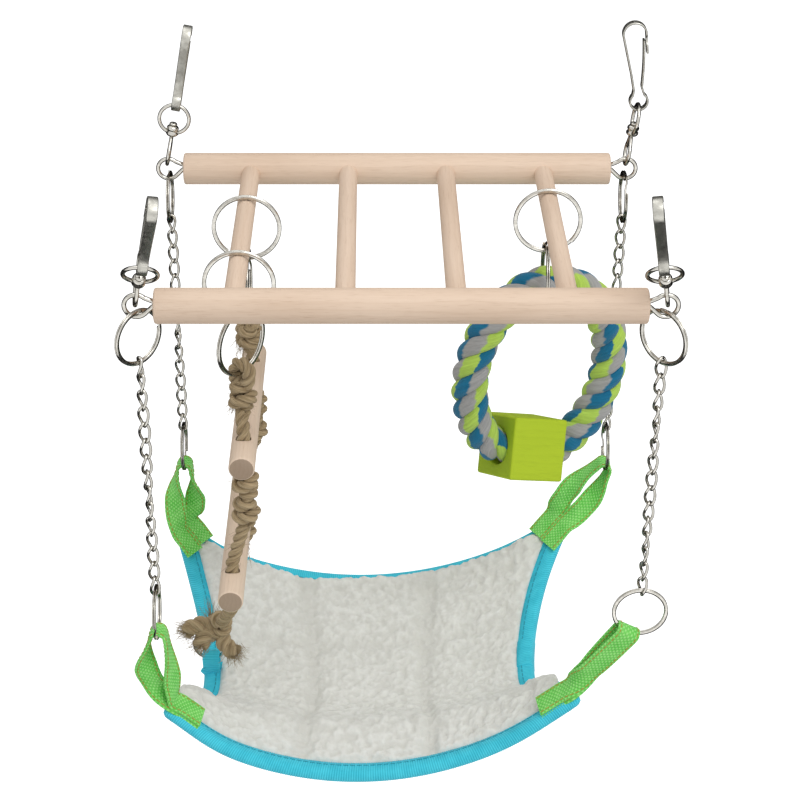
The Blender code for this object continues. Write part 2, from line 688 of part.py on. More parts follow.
def cloth_lines(count, span):
    """Where the cloth's grid lines run: one band under the tape at each side, even steps between."""
    steps = count - 2
    inner = [inset(PILE_INSET, span) * (2 * step / steps - 1) for step in range(steps + 1)]
    return [-inset(BINDING_LIP, span)] + inner + [inset(BINDING_LIP, span)]


columns_u = cloth_lines(CLOTH_COLUMNS, HAMMOCK_WIDTH)
rows_v = cloth_lines(CLOTH_ROWS, HAMMOCK_DEPTH)


def slab_mesh(name, low, high):
    """A closed layer of cloth between two heights, each a function of u and v."""
    mesh = bpy.data.meshes.new(name)
    work = bmesh.new()
    grid = {}
    for i, u in enumerate(columns_u):
        for j, v in enumerate(rows_v):
            grid[i, j, 0] = work.verts.new(cloth_offset(u, v, low(u, v)))
            grid[i, j, 1] = work.verts.new(cloth_offset(u, v, high(u, v)))
    columns = range(CLOTH_COLUMNS)
    rows = range(CLOTH_ROWS)
    for i in columns:
        for j in rows:
            for layer in (0, 1):
                square = [(i, j), (i + 1, j), (i + 1, j + 1), (i, j + 1)]
                work.faces.new([grid[a, b, layer] for a, b in square])
    rim = [(i, 0) for i in columns] + [(CLOTH_COLUMNS, j) for j in rows]
    rim += [(CLOTH_COLUMNS - i, CLOTH_ROWS) for i in columns] + [(0, CLOTH_ROWS - j) for j in rows]
    for (a, b), (c, d) in zip(rim, rim[1:] + rim[:1]):
        work.faces.new((grid[a, b, 0], grid[c, d, 0], grid[c, d, 1], grid[a, b, 1]))
    bmesh.ops.recalc_face_normals(work, faces=work.faces)
    work.to_mesh(mesh)
    work.free()
    return mesh


def fleece_top(u, v):
    """The pile's height: thin under the tape, full inside it, pressed down along the seams."""
    from_side = (1 - abs(u)) * HAMMOCK_WIDTH / 2 - PILE_INSET
    from_end = (1 - abs(v)) * HAMMOCK_DEPTH / 2 - PILE_INSET
    inside = min(1.0, max(0.0, min(from_side, from_end) / BINDING_WIDTH))
    rise = inside * inside * (3 - 2 * inside)
    seam = math.exp(-(((abs(u) - QUILT_PLACE) / QUILT_WIDTH) ** 2))
    return CLEARANCE / 2 + FLEECE_EDGE + rise * (FLEECE_LOFT - FLEECE_EDGE - QUILT_DEPTH * seam)


def binding_mesh():
    """A tape folded over the cloth's edge: a U-shaped section carried round the four sides."""
    groove_high = FLEECE_EDGE + TAPE_ROOM
    groove_low = -(BACKING_THICKNESS + TAPE_ROOM)
    top = groove_high + BINDING_THICKNESS
    bottom = groove_low - BINDING_THICKNESS
    groove_end = BINDING_LIP - TAPE_ROOM
    section = [
        (BINDING_WIDTH, groove_high),
        (BINDING_WIDTH, top),
        (0.0, top),
        (0.0, bottom),
        (BINDING_WIDTH, bottom),
        (BINDING_WIDTH, groove_low),
        (groove_end, groove_low),
        (groove_end, groove_high),
    ]
    across = [u / columns_u[-1] for u in columns_u[:-1]]
    along = [v / rows_v[-1] for v in rows_v[:-1]]
    square = [(u, -1.0) for u in across] + [(1.0, v) for v in along]
    square += [(-u, 1.0) for u in across] + [(-1.0, -v) for v in along]
    loops = []
    for u, v in square:
        loop = []
        for width, height in section:
            inner_u = u * inset(width, HAMMOCK_WIDTH)
            inner_v = v * inset(width, HAMMOCK_DEPTH)
            loop.append(cloth_offset(inner_u, inner_v, height))
        loops.append(loop)
    return loft_mesh("edge_binding", loops, True, True)


def backing_top(u, v):
    """The backing's upper face."""
    return -CLEARANCE / 2


def backing_bottom(u, v):
    """The backing's lower face."""
    return -CLEARANCE / 2 - BACKING_THICKNESS


def fleece_bottom(u, v):
    """The fleece's lower face."""
    return CLEARANCE / 2


# The hammock hangs from the front right ring, and its loops follow the other three
hammock = add_empty("hammock_hang", ring_hangs["fr"], move(0.0, 0.0, LOWER_RING_BOTTOM - LOWER_RING_TOP))
hammock_home = move(-EYE_X, EYE_Y, -LOWER_RING_BOTTOM)
fleece_mesh = slab_mesh("hammock_fleece", fleece_bottom, fleece_top)
smooth(add_object("hammock_fleece", fleece_mesh, FLEECE, hammock, hammock_home))
backing_mesh = slab_mesh("hammock_backing", backing_bottom, backing_top)
smooth(add_object("hammock_backing", backing_mesh, BACKING, hammock, hammock_home))
tape_mesh = binding_mesh()
add_object("edge_binding", tape_mesh, BLUE_TAPE, hammock, hammock_home)


def loop_outline(length, wire, room, belly):
    """A hairpin of webbing, drawn with the wire at the origin and its ends a length below it."""
    bend = wire / 2 + room + WEB_THICKNESS / 2
    close = WEB_THICKNESS / 2 + CLEARANCE
    top = arc((0.0, 0.0), bend, 180.0, 0.0, STRAP_SEGMENTS)
    left = [(-close, -length), (-max(belly, bend), -length / 2)]
    right = [(max(belly, bend), -length / 2), (close, -length)]
    return strip_outline(left + top + right, WEB_THICKNESS)


def nearest_edge(start, down, reach):
    """How far down a line from a start the binding's surface begins, within a reach of the line."""
    depths = []
    for vertex in tape_mesh.vertices:
        away = vertex.co - start
        depth = away.dot(down)
        if (away - down * depth).length < reach:
            depths.append(depth)
    return min(depths)


def strap_curve(name, wire_centre, wire, room, foot, width, belly):
    """A webbing loop round a wire, long enough to end on the binding at a foot."""
    down = (foot - wire_centre).normalized()
    length = nearest_edge(wire_centre, down, width + BINDING_WIDTH) - CLEARANCE
    return flat_curve(name, [loop_outline(length, wire, room, belly)], width)


def strap_frame(wire_centre, foot, spread):
    """Stands a webbing loop on its wire, pointing at its foot, its legs parting along spread."""
    down = (foot - wire_centre).normalized()
    apart = (spread - down * spread.dot(down)).normalized()
    frame = Matrix((apart, -down, down.cross(apart))).transposed().to_4x4()
    return hammock_home @ Matrix.Translation(wire_centre) @ frame


# Corner loops: green webbing round each lower ring, whose wire rises towards the webbing's edges
ring_rise = SMALL_RING_RADIUS - math.sqrt(SMALL_RING_RADIUS**2 - (WEB_WIDTH / 2) ** 2)
web_room = ring_rise + WEB_ROOM

for corner, (side_x, side_y) in CORNERS.items():
    foot = hammock_corner(side_x, side_y)
    centre = Vector((side_x * EYE_X, side_y * EYE_Y, LOWER_RING_BOTTOM + SMALL_RING_RADIUS))
    facing = turn("Z", LOWER_RING_YAW[corner]) @ Vector((0.0, 1.0, 0.0))
    pull = foot - centre
    pull -= facing * pull.dot(facing)
    wire_at = centre + pull.normalized() * SMALL_RING_RADIUS
    loop = strap_curve("corner_loop", wire_at, SMALL_RING_WIRE, web_room, foot, WEB_WIDTH, WEB_SPREAD)
    add_object(f"corner_loop_{corner}", loop, GREEN_WEB, hammock, strap_frame(wire_at, foot, facing))

# Side tab: a small tape loop on the left edge, which the rope ladder's tie ring passes through
tab_foot = cloth_point(-inset(BINDING_WIDTH / 2, HAMMOCK_WIDTH), 0.0)
tie_ring_bottom = tab_foot + Vector((0.0, 0.0, TAB_HEIGHT))
tab_facing = turn("Z", TIE_RING_YAW) @ Vector((0.0, 1.0, 0.0))
tab = strap_curve("side_tab", tie_ring_bottom, TIE_RING_WIRE, TAB_CLEARANCE, tab_foot, TAB_WIDTH, 0.0)
add_object("side_tab", tab, BLUE_TAPE, hammock, strap_frame(tie_ring_bottom, tab_foot, tab_facing))


# Rope ladder: rings on the first rung, a ring on each rope, two drilled dowels and a tie ring
large_ring_curve = ring_curve("large_ring", LARGE_RING_OUTER, LARGE_RING_WIRE)
rung_ring_drop = move(0.0, 0.0, RUNG_RING_CENTRE)
rope_ring_drop = move(0.0, 0.0, ROPE_RING_TOP - RUNG_RING_BOTTOM - LARGE_RING_RADIUS)
dowel_y = (LADDER_RING_FRONT_Y + LADDER_RING_REAR_Y) / 2
first_rung_x = rung_places[0]
dowel_places = [
    Vector((first_rung_x, dowel_y, -DOWEL_1_DROP)),
    Vector((first_rung_x + DOWEL_2_SHIFT, dowel_y, -DOWEL_2_DROP)),
]


def smooth_route(points, swells, steps):
    """A smooth line through hand-placed points, with the section's swell carried along."""
    route = []
    for index in range(len(points) - 1):
        before = points[max(index - 1, 0)]
        start = points[index]
        end = points[index + 1]
        after = points[min(index + 2, len(points) - 1)]
        for step in range(steps):
            t = step / steps
            bend = (
                2 * start
                + (end - before) * t
                + (2 * before - 5 * start + 4 * end - after) * t**2
                + (3 * start - before - 3 * end + after) * t**3
            )
            ease = t * t * (3 - 2 * t)
            route.append((bend / 2, swells[index] + (swells[index + 1] - swells[index]) * ease))
    route.append((points[-1], swells[-1]))
    return route


def ladder_rope(ring_y, ring_yaw, side, tail):
    """A rope doubled over its ring, knotted, and led down through both dowels. The tail lists its
    further points below the second dowel, each with its swell."""
    wire_at = Vector((first_rung_x, ring_y, ROPE_RING_BOTTOM))
    apart = turn("Z", ring_yaw) @ Vector((0.0, 1.0, 0.0))
    bend = link_gap(LARGE_RING_WIRE, LADDER_ROPE)
    knot = LADDER_KNOT / LADDER_ROPE
    neck = LADDER_KNOT_NECK / LADDER_ROPE
    bow = arc((0.0, 0.0), bend, 180.0, 0.0, ROPE_BEND_STEPS)
    over = [wire_at + apart * across + Vector((0.0, 0.0, up)) for across, up in bow]
    down = Vector((0.0, 0.0, -1.0))
    holes = [place + Vector((0.0, side * LADDER_ROPE_SPACING / 2, 0.0)) for place in dowel_places]
    top_knot = wire_at + down * (bend + LADDER_KNOT_HALF)
    mid_knot = holes[0] + down * (LADDER_ROPE_LEAD + LADDER_KNOT_HALF)
    points = [
        (top_knot - down * LADDER_KNOT_HALF, neck),
        (top_knot, knot),
        (top_knot + down * LADDER_KNOT_HALF, neck),
        (holes[0] - down * LADDER_ROPE_LEAD, 1.0),
        (holes[0] + down * LADDER_ROPE_LEAD, 1.0),
        (mid_knot, knot),
        (mid_knot + down * LADDER_KNOT_HALF, neck),
        (holes[1] - down * LADDER_ROPE_LEAD, 1.0),
        (holes[1] + down * LADDER_ROPE_LEAD, 1.0),
    ] + tail(holes[1], knot, neck)
    route = smooth_route([place for place, _ in points], [swell for _, swell in points], ROPE_STEPS)
    line = over + [place for place, _ in route]
    swells = [1.0] * len(over) + [swell for _, swell in route]
    return wire_curve("ladder_rope", line, LADDER_ROPE, swell=swells)


tie_ring_centre = tie_ring_bottom + Vector((0.0, 0.0, TIE_RING_RADIUS))
tie_ring_top = tie_ring_centre + Vector((0.0, 0.0, TIE_RING_RADIUS))


def front_tail(hole, knot, neck):
    """The front rope's end: slanting to a big knot beside the top of the tie ring."""
    end = tie_ring_top + Vector((0.0, -link_gap(TIE_RING_WIRE, LADDER_KNOT), 0.0))
    half_knot = Vector((0.0, 0.0, LADDER_KNOT_HALF))
    clear = hole - Vector((0.0, 0.0, LADDER_ROPE_LEAD + LADDER_ROPE))
    slant = [(clear, 1.0), ((clear + end) / 2, 1.0)]
    return slant + [(end + half_knot, neck), (end, knot), (end - half_knot, neck)]


def rear_tail(hole, knot, neck):
    """The rear rope's end: a stop knot and a short tail under the second dowel."""
    start = hole - Vector((0.0, 0.0, LADDER_ROPE_LEAD + LADDER_KNOT_HALF))
    return [(start, knot), (start - Vector((0.0, 0.0, LADDER_KNOT_HALF)), neck)]


ladder_ropes = (
    ("front", LADDER_RING_FRONT_Y, ROPE_RING_FRONT_YAW, -1, front_tail),
    ("rear", LADDER_RING_REAR_Y, ROPE_RING_REAR_YAW, 1, rear_tail),
)
rope_swings = {}
for name, ring_y, ring_yaw, side, tail in ladder_ropes:
    on_rung = add_empty(f"ladder_rung_swing_{name}", ladder, move(first_rung_x, ring_y, 0.0))
    add_object(f"ladder_rung_ring_{name}", large_ring_curve, NICKEL, on_rung, rung_ring_drop)
    on_ring = add_empty(f"ladder_rope_swing_{name}", on_rung, move(0.0, 0.0, RUNG_RING_BOTTOM))
    at_ring = rope_ring_drop @ turn("Z", ring_yaw)
    add_object(f"ladder_rope_ring_{name}", large_ring_curve, NICKEL, on_ring, at_ring)
    back_home = move(-first_rung_x, -ring_y, -RUNG_RING_BOTTOM)
    add_object(f"ladder_rope_{name}", ladder_rope(ring_y, ring_yaw, side, tail), JUTE, on_ring, back_home)
    rope_swings[name] = on_ring

front_home = move(-first_rung_x, -LADDER_RING_FRONT_Y, -RUNG_RING_BOTTOM)
for index, place in enumerate(dowel_places):
    at_hole = front_home @ Matrix.Translation(place) @ move(0.0, -LADDER_ROPE_SPACING / 2, 0.0)
    level = add_empty(f"ladder_dowel_level_{index + 1}", rope_swings["front"], at_hole)
    dowel = add_object(
        f"ladder_dowel_{index + 1}",
        cylinder_mesh("ladder_dowel", LADDER_DOWEL_DIAMETER, LADDER_DOWEL_LENGTH),
        PALE_WOOD,
        level,
        move(0.0, LADDER_ROPE_SPACING / 2, 0.0) @ along_y,
    )
    smooth(dowel)
    add_bevel(dowel, RAIL_EDGE)
    hole = cylinder_mesh("rope_hole", LADDER_DOWEL_BORE, 2 * LADDER_DOWEL_DIAMETER, HOLE_SIDES)
    for name, y in (("front", 0.0), ("rear", LADDER_ROPE_SPACING)):
        cutter = add_cutter(f"rope_hole_{index + 1}_{name}", hole, level, move(0.0, y, 0.0))
        add_cut(dowel, cutter)

tie_turn = add_empty("tie_ring_turn", hammock, hammock_home @ Matrix.Translation(tie_ring_centre))
tie_ring_curve = ring_curve("tie_ring", TIE_RING_OUTER, TIE_RING_WIRE)
add_object("tie_ring", tie_ring_curve, NICKEL, tie_turn, turn("Z", TIE_RING_YAW))

# Rope toy: a fat rope closed to an oval, hung on two rings from the last rung, with a block on it
last_rung_x = rung_places[-1]
toy_top = ROPE_RING_BOTTOM + link_gap(LARGE_RING_WIRE, TOY_ROPE) + TOY_ROPE_ROOM
toy_on_rung = add_empty("toy_rung_swing", ladder, move(last_rung_x, TOY_RING_Y, 0.0))
add_object("toy_rung_ring", large_ring_curve, NICKEL, toy_on_rung, rung_ring_drop)
toy_on_ring = add_empty("toy_ring_swing", toy_on_rung, move(0.0, 0.0, RUNG_RING_BOTTOM))
at_ring = rope_ring_drop @ turn("Z", TOY_ROPE_RING_YAW)
add_object("toy_rope_ring", large_ring_curve, NICKEL, toy_on_ring, at_ring)

# The block sits on a straight run of the oval, a little to the left of its lowest point
block_angle = math.radians(-90.0 - TOY_BLOCK_PLACE)
block_slope = Vector((-TOY_WIDTH / 2 * math.sin(block_angle), 0.0, TOY_HEIGHT / 2 * math.cos(block_angle)))
block_share = math.asin((TOY_BLOCK / 2 + TOY_BLOCK_ROOM) / block_slope.length)


def toy_oval(angle, share=1.0):
    """A point of the rope's oval in the XZ plane, whose top is the origin."""
    across = share * TOY_WIDTH / 2 * math.cos(angle)
    up = share * TOY_HEIGHT / 2 * math.sin(angle)
    return Vector((across, 0.0, up - TOY_HEIGHT / 2))


rope_start = block_angle + block_share
rope_end = block_angle - block_share + 2 * math.pi
rope_angles = np.linspace(rope_start, rope_end, TOY_ROPE_POINTS)
rope_line = [toy_oval(angle) for angle in rope_angles]
toy_rope_curve = wire_curve("toy_rope", rope_line, TOY_ROPE, cyclic=True)
rope_rest = move(0.0, 0.0, toy_top - RUNG_RING_BOTTOM)
toy_on_rope = add_empty("toy_rope_swing", toy_on_ring, rope_rest @ turn("Z", TOY_YAW))
add_object("toy_rope", toy_rope_curve, COTTON, toy_on_rope)
block_place = Matrix.Translation(toy_oval(block_angle, math.cos(block_share)))
block_tilt = turn("Y", math.degrees(math.atan2(-block_slope.z, block_slope.x)))
block_spin = add_empty("toy_block_spin", toy_on_rope, block_place @ block_tilt)
block_mesh = bpy.data.meshes.new("toy_block")
work = bmesh.new()
bmesh.ops.create_cube(work, size=TOY_BLOCK)
work.to_mesh(block_mesh)
work.free()
block = add_object("toy_block", block_mesh, LIME_WOOD, block_spin, turn("X", TOY_BLOCK_TURN))
add_bevel(block, TOY_BLOCK_EDGE)
bore = cylinder_mesh("block_bore", TOY_BORE, 2 * TOY_BLOCK)
add_cut(block, add_cutter("block_bore", bore, block_spin, along_x))
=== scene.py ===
import json
import math

import bmesh
import bpy
import numpy as np
from mathutils import Matrix, Vector, noise


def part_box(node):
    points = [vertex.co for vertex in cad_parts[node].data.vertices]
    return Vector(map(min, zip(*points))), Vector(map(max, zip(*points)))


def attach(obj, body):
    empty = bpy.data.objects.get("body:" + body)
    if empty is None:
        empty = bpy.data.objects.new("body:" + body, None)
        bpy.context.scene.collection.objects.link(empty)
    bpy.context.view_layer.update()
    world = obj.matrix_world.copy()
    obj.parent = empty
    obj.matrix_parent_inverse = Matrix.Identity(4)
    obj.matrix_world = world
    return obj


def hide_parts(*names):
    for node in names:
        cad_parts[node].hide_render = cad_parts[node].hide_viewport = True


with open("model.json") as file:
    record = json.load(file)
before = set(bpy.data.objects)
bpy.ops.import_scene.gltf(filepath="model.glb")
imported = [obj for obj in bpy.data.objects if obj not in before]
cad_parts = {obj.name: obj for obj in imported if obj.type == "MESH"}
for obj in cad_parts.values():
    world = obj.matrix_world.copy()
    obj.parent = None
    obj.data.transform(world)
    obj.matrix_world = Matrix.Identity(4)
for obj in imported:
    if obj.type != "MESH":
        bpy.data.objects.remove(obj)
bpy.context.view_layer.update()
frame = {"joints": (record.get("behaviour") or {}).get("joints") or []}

# Studio: a white sweep under one big soft lamp and a weaker one, with a long lens looking down at
# the hanging bridge from the front. Dark cards beside the set give the plated wire its dark edges.
CAMERA_PLACE = (-0.0120, -0.7206, 0.2614)
CAMERA_TILT = 60.4
CAMERA_LENS = 85.4
CAMERA_FILM = 36.0
CAMERA_SHIFT = 0.0375
WHITE = (1.0, 1.0, 1.0, 1.0)
SWEEP_LIGHT = 0.62
FLOOR_GREY = (0.9, 0.9, 0.9, 1.0)
FLOOR_GLOW = 0.62
FLOOR_HALF = 4.0
FLOOR_HEIGHT = -0.62
CARD_GREY = (0.02, 0.02, 0.02, 1.0)
CARD_ROUGH = 0.9
CARD_HALF = 2.4
CARD_FRONT = -0.5
CARD_REAR = 0.8
CARD_LOW = -0.60
CARD_HIGH = 1.0
SIDE_CARD_OUT = 0.9
SIDE_CARD_FRONT = -0.15
SIDE_CARD_HIGH = 0.5
# Each lamp's name, its place, what it points at, its width and its power
LAMPS = (
    ("key_lamp", (0.55, -0.80, 1.05), (0.0, 0.0, -0.12), 0.9, 9.5),
    ("top_lamp", (-0.25, 0.15, 1.25), (0.0, 0.0, -0.15), 0.8, 2.2),
)

scene = bpy.context.scene
scene.view_settings.view_transform = "Standard"

camera = bpy.data.objects.new("camera", bpy.data.cameras.new("camera"))
scene.collection.objects.link(camera)
camera.location = CAMERA_PLACE
camera.rotation_euler = (math.radians(CAMERA_TILT), 0.0, 0.0)
camera.data.lens = CAMERA_LENS
camera.data.sensor_width = CAMERA_FILM
camera.data.shift_x = CAMERA_SHIFT
scene.camera = camera


def put(tree, kind, inputs=(), **settings):
    """Add a node, set it up, and wire or fill its inputs."""
    made = tree.nodes.new(kind)
    for key, value in settings.items():
        setattr(made, key, value)
    for key, value in dict(inputs).items():
        if isinstance(value, bpy.types.NodeSocket):
            tree.links.new(value, made.inputs[key])
        else:
            made.inputs[key].default_value = value
    return made


def sums(tree, operation, *values):
    """A maths node's result."""
    return put(tree, "ShaderNodeMath", dict(enumerate(values)), operation=operation).outputs[0]


def unlit_rays(tree):
    """1 for the rays that look at the set itself or mirror it, 0 for those that carry its light."""
    path = put(tree, "ShaderNodeLightPath")
    either = sums(tree, "MAXIMUM", path.outputs["Is Camera Ray"], path.outputs["Is Glossy Ray"])
    return sums(tree, "MAXIMUM", either, path.outputs["Is Transmission Ray"])


world = bpy.data.worlds.new("white_sweep")
scene.world = world
world.use_nodes = True
tree = world.node_tree
tree.nodes.clear()
seen = put(tree, "ShaderNodeBackground", {"Color": WHITE, "Strength": 1.0})
lit = put(tree, "ShaderNodeBackground", {"Color": WHITE, "Strength": SWEEP_LIGHT})
both = put(tree, "ShaderNodeMixShader", {0: unlit_rays(tree), 1: lit.outputs[0], 2: seen.outputs[0]})
put(tree, "ShaderNodeOutputWorld", {"Surface": both.outputs[0]})


def lamp(name, place, aim, size, power):
    """A soft square lamp."""
    light = bpy.data.lights.new(name, "AREA")
    light.size = size
    light.energy = power
    holder = bpy.data.objects.new(name, light)
    scene.collection.objects.link(holder)
    holder.location = place
    holder.rotation_euler = (Vector(aim) - Vector(place)).to_track_quat("-Z", "Y").to_euler()


for row in LAMPS:
    lamp(*row)


def board(name, places, material, shows):
    """A flat board of the set."""
    mesh = bpy.data.meshes.new(name)
    mesh.from_pydata(places, [], [(0, 1, 2, 3)])
    mesh.materials.append(material)
    made = bpy.data.objects.new(name, mesh)
    scene.collection.objects.link(made)
    made.visible_camera = shows
    made.visible_diffuse = shows
    made.visible_shadow = shows


floor_paint = bpy.data.materials.new("floor_paint")
floor_paint.use_nodes = True
tree = floor_paint.node_tree
tree.nodes.clear()
shadow = put(tree, "ShaderNodeBsdfDiffuse", {"Color": FLOOR_GREY})
glow = put(tree, "ShaderNodeEmission", {"Color": WHITE, "Strength": FLOOR_GLOW})
lifted = put(tree, "ShaderNodeAddShader", {0: shadow.outputs[0], 1: glow.outputs[0]})
choice = {0: unlit_rays(tree), 1: shadow.outputs[0], 2: lifted.outputs[0]}
painted = put(tree, "ShaderNodeMixShader", choice)
put(tree, "ShaderNodeOutputMaterial", {"Surface": painted.outputs[0]})
square = ((-FLOOR_HALF, -FLOOR_HALF), (FLOOR_HALF, -FLOOR_HALF))
square += ((FLOOR_HALF, FLOOR_HALF), (-FLOOR_HALF, FLOOR_HALF))
board("floor", [(x, y, FLOOR_HEIGHT) for x, y in square], floor_paint, True)

card_black = bpy.data.materials.new("card_black")
card_black.use_nodes = True
card_face = card_black.node_tree.nodes["Principled BSDF"]
card_face.inputs["Base Color"].default_value = CARD_GREY
card_face.inputs["Roughness"].default_value = CARD_ROUGH
wide = [(-CARD_HALF, CARD_REAR, CARD_LOW), (CARD_HALF, CARD_REAR, CARD_LOW)]
wide += [(CARD_HALF, CARD_REAR, CARD_HIGH), (-CARD_HALF, CARD_REAR, CARD_HIGH)]
board("dark_card_rear", wide, card_black, False)
under = [(-CARD_HALF, CARD_FRONT, CARD_LOW), (CARD_HALF, CARD_FRONT, CARD_LOW)]
under += [(CARD_HALF, CARD_REAR, CARD_LOW), (-CARD_HALF, CARD_REAR, CARD_LOW)]
board("dark_card_low", under, card_black, False)
for name, x in (("left", -SIDE_CARD_OUT), ("right", SIDE_CARD_OUT)):
    edge = [(x, SIDE_CARD_FRONT, CARD_LOW), (x, CARD_REAR, CARD_LOW)]
    edge += [(x, CARD_REAR, SIDE_CARD_HIGH), (x, SIDE_CARD_FRONT, SIDE_CARD_HIGH)]
    board(f"dark_card_{name}", edge, card_black, False)

# Rails and rungs: sanded birch dowels. The thick rails carry the thin rungs in blind holes, glued,
# and their sawn ends are eased with sandpaper.
RAIL_LENGTH = 0.190
RAIL_DIAMETER = 0.014
RAIL_SPACING = 0.136
RAIL_EDGE = 0.0009
RAIL_SIDES = 64
RUNG_DIAMETER = 0.008
RUNG_SEAT = 0.006
RUNG_EDGE = RAIL_EDGE / 3
RUNG_SIDES = 48
EASE_STEPS = 5
SHARP_RIM = 60
SAWN_FROM = 0.9
BIRCH_PALE = (0.80, 0.625, 0.485)
BIRCH_DEEP = (0.57, 0.395, 0.27)
BIRCH_SAWN = (0.80, 0.70, 0.62)
BIRCH_RING = 0.0026
BIRCH_ROUGH = 0.58
# Where the heart of its log lies from a dowel's middle, and how far it shifts from one to the next
RAIL_HEART = (0.3, 0.021, 0.012)
RAIL_SHIFT = 0.006
RUNG_HEART = (0.17, 0.014, 0.009)
RUNG_SHIFT = 0.004

joints = {joint["name"]: joint for joint in frame["joints"]}


def place_of(joint):
    """Where a joint of the part is."""
    return Vector(joints[joint]["pos_m"])


def material_of(name, **constants):
    """A Principled material with its constant values set, and its node tree."""
    made = bpy.data.materials.new(name)
    made.use_nodes = True
    shader = made.node_tree.nodes["Principled BSDF"]
    for key, value in constants.items():
        shader.inputs[key.replace("_", " ").title().replace("Ior", "IOR")].default_value = value
    return made, made.node_tree, shader


def effect(name, inputs, outputs):
    """An empty shader group with named inputs and outputs."""
    group = bpy.data.node_groups.new(name, "ShaderNodeTree")
    for label, kind in inputs.items():
        group.interface.new_socket(label, in_out="INPUT", socket_type=f"NodeSocket{kind}")
    for label, kind in outputs.items():
        group.interface.new_socket(label, in_out="OUTPUT", socket_type=f"NodeSocket{kind}")
    return group, put(group, "NodeGroupInput").outputs, put(group, "NodeGroupOutput").inputs


def clouds(tree, vector, scale, detail=2.0, rough=0.5):
    """Soft noise from 0 to 1."""
    inputs = {"Vector": vector, "Scale": scale, "Detail": detail, "Roughness": rough}
    return put(tree, "ShaderNodeTexNoise", inputs).outputs["Fac"]


def streaks(tree, vector, packing, detail=2.0, rough=0.5):
    """Soft noise from 0 to 1, packed by another number on each axis."""
    packed = put(tree, "ShaderNodeVectorMath", {0: vector, 1: packing}, operation="MULTIPLY")
    return clouds(tree, packed.outputs[0], 1.0, detail, rough)


def mixture(tree, *parts):
    """Values added up, each times its share."""
    total, *others = [sums(tree, "MULTIPLY", value, share) for value, share in parts]
    for other in others:
        total = sums(tree, "ADD", total, other)
    return total


def ramp(tree, value, low, high, out_low=0.0, out_high=1.0):
    """A value remapped smoothly from one span to another."""
    made = put(tree, "ShaderNodeMapRange", {0: value, 1: low, 2: high, 3: out_low, 4: out_high})
    made.interpolation_type = "SMOOTHSTEP"
    return made.outputs[0]


def blend(tree, share, first, second, way="MIX"):
    """Two colours mixed, or the first multiplied by the second."""
    inputs = {0: share, 6: first, 7: second}
    return put(tree, "ShaderNodeMix", inputs, data_type="RGBA", blend_type=way).outputs[2]


def bumped(tree, shader, height, distance, strength=1.0):
    """Relief from a height that varies from 0 to 1."""
    made = put(tree, "ShaderNodeBump", {"Height": height, "Distance": distance, "Strength": strength})
    tree.links.new(made.outputs[0], shader.inputs["Normal"])


# Wood in the solid: year rings about a far pith, fine fibres along the grain, and short dark pores
WAVE_PACKING = (22.0, 160.0, 160.0)
FIBRE_PACKING = (55.0, 1900.0, 1900.0)
PORE_PACKING = (150.0, 3600.0, 3600.0)
PATCH_PACKING = (14.0, 60.0, 60.0)
RING_WAVE = 1.6
RING_SHADE = 0.13
FIBRE_SHADE = 0.34
PORE_SHADE = 0.30
PATCH_SHADE = (-0.12, 0.18)
PORE_DEEP = 0.5
GRAIN_RELIEF = 0.00012
wood, given, result = effect(
    "wood_grain",
    {"Place": "Vector", "Pale": "Color", "Deep": "Color", "Ring Width": "Float"},
    {"Color": "Color", "Height": "Float"},
)
parts = put(wood, "ShaderNodeSeparateXYZ", {0: given["Place"]}).outputs
warp = streaks(wood, given["Place"], WAVE_PACKING)
across = put(wood, "ShaderNodeCombineXYZ", {1: parts[1], 2: parts[2]})
radius = put(wood, "ShaderNodeVectorMath", {0: across.outputs[0]}, operation="LENGTH").outputs["Value"]
turns = sums(wood, "DIVIDE", radius, given["Ring Width"])
turns = sums(wood, "ADD", turns, sums(wood, "MULTIPLY", warp, RING_WAVE))
rings = ramp(wood, sums(wood, "FRACT", turns), 0.25, 1.0)
fibre = streaks(wood, given["Place"], FIBRE_PACKING, 3.0, 0.6)
pores = ramp(wood, streaks(wood, given["Place"], PORE_PACKING, 1.0), 0.60, 0.72)
patch = streaks(wood, given["Place"], PATCH_PACKING, 1.0)
shade = mixture(wood, (rings, RING_SHADE), (fibre, FIBRE_SHADE), (pores, PORE_SHADE))
shade = sums(wood, "ADD", shade, ramp(wood, patch, 0.35, 0.70, *PATCH_SHADE))
wood.links.new(blend(wood, shade, given["Pale"], given["Deep"]), result["Color"])
wood.links.new(sums(wood, "SUBTRACT", fibre, sums(wood, "MULTIPLY", pores, PORE_DEEP)), result["Height"])


def wooden(name, pale, deep, end_colour, ring_width, roughness):
    """Wood whose grain follows each piece's own grain attribute, with darker sawn ends."""
    made, tree, shader = material_of(name, roughness=roughness, specular_ior_level=0.35)
    place = put(tree, "ShaderNodeAttribute", attribute_name="grain").outputs["Vector"]
    sawn = put(tree, "ShaderNodeAttribute", attribute_name="sawn").outputs["Fac"]
    inputs = {"Place": place, "Pale": (*pale, 1.0), "Deep": (*deep, 1.0), "Ring Width": ring_width}
    grain = put(tree, "ShaderNodeGroup", node_tree=wood, inputs=inputs)
    darker = blend(tree, sawn, grain.outputs["Color"], (*end_colour, 1.0), "MULTIPLY")
    tree.links.new(darker, shader.inputs["Base Color"])
    bumped(tree, shader, grain.outputs["Height"], GRAIN_RELIEF, 0.5)
    return made


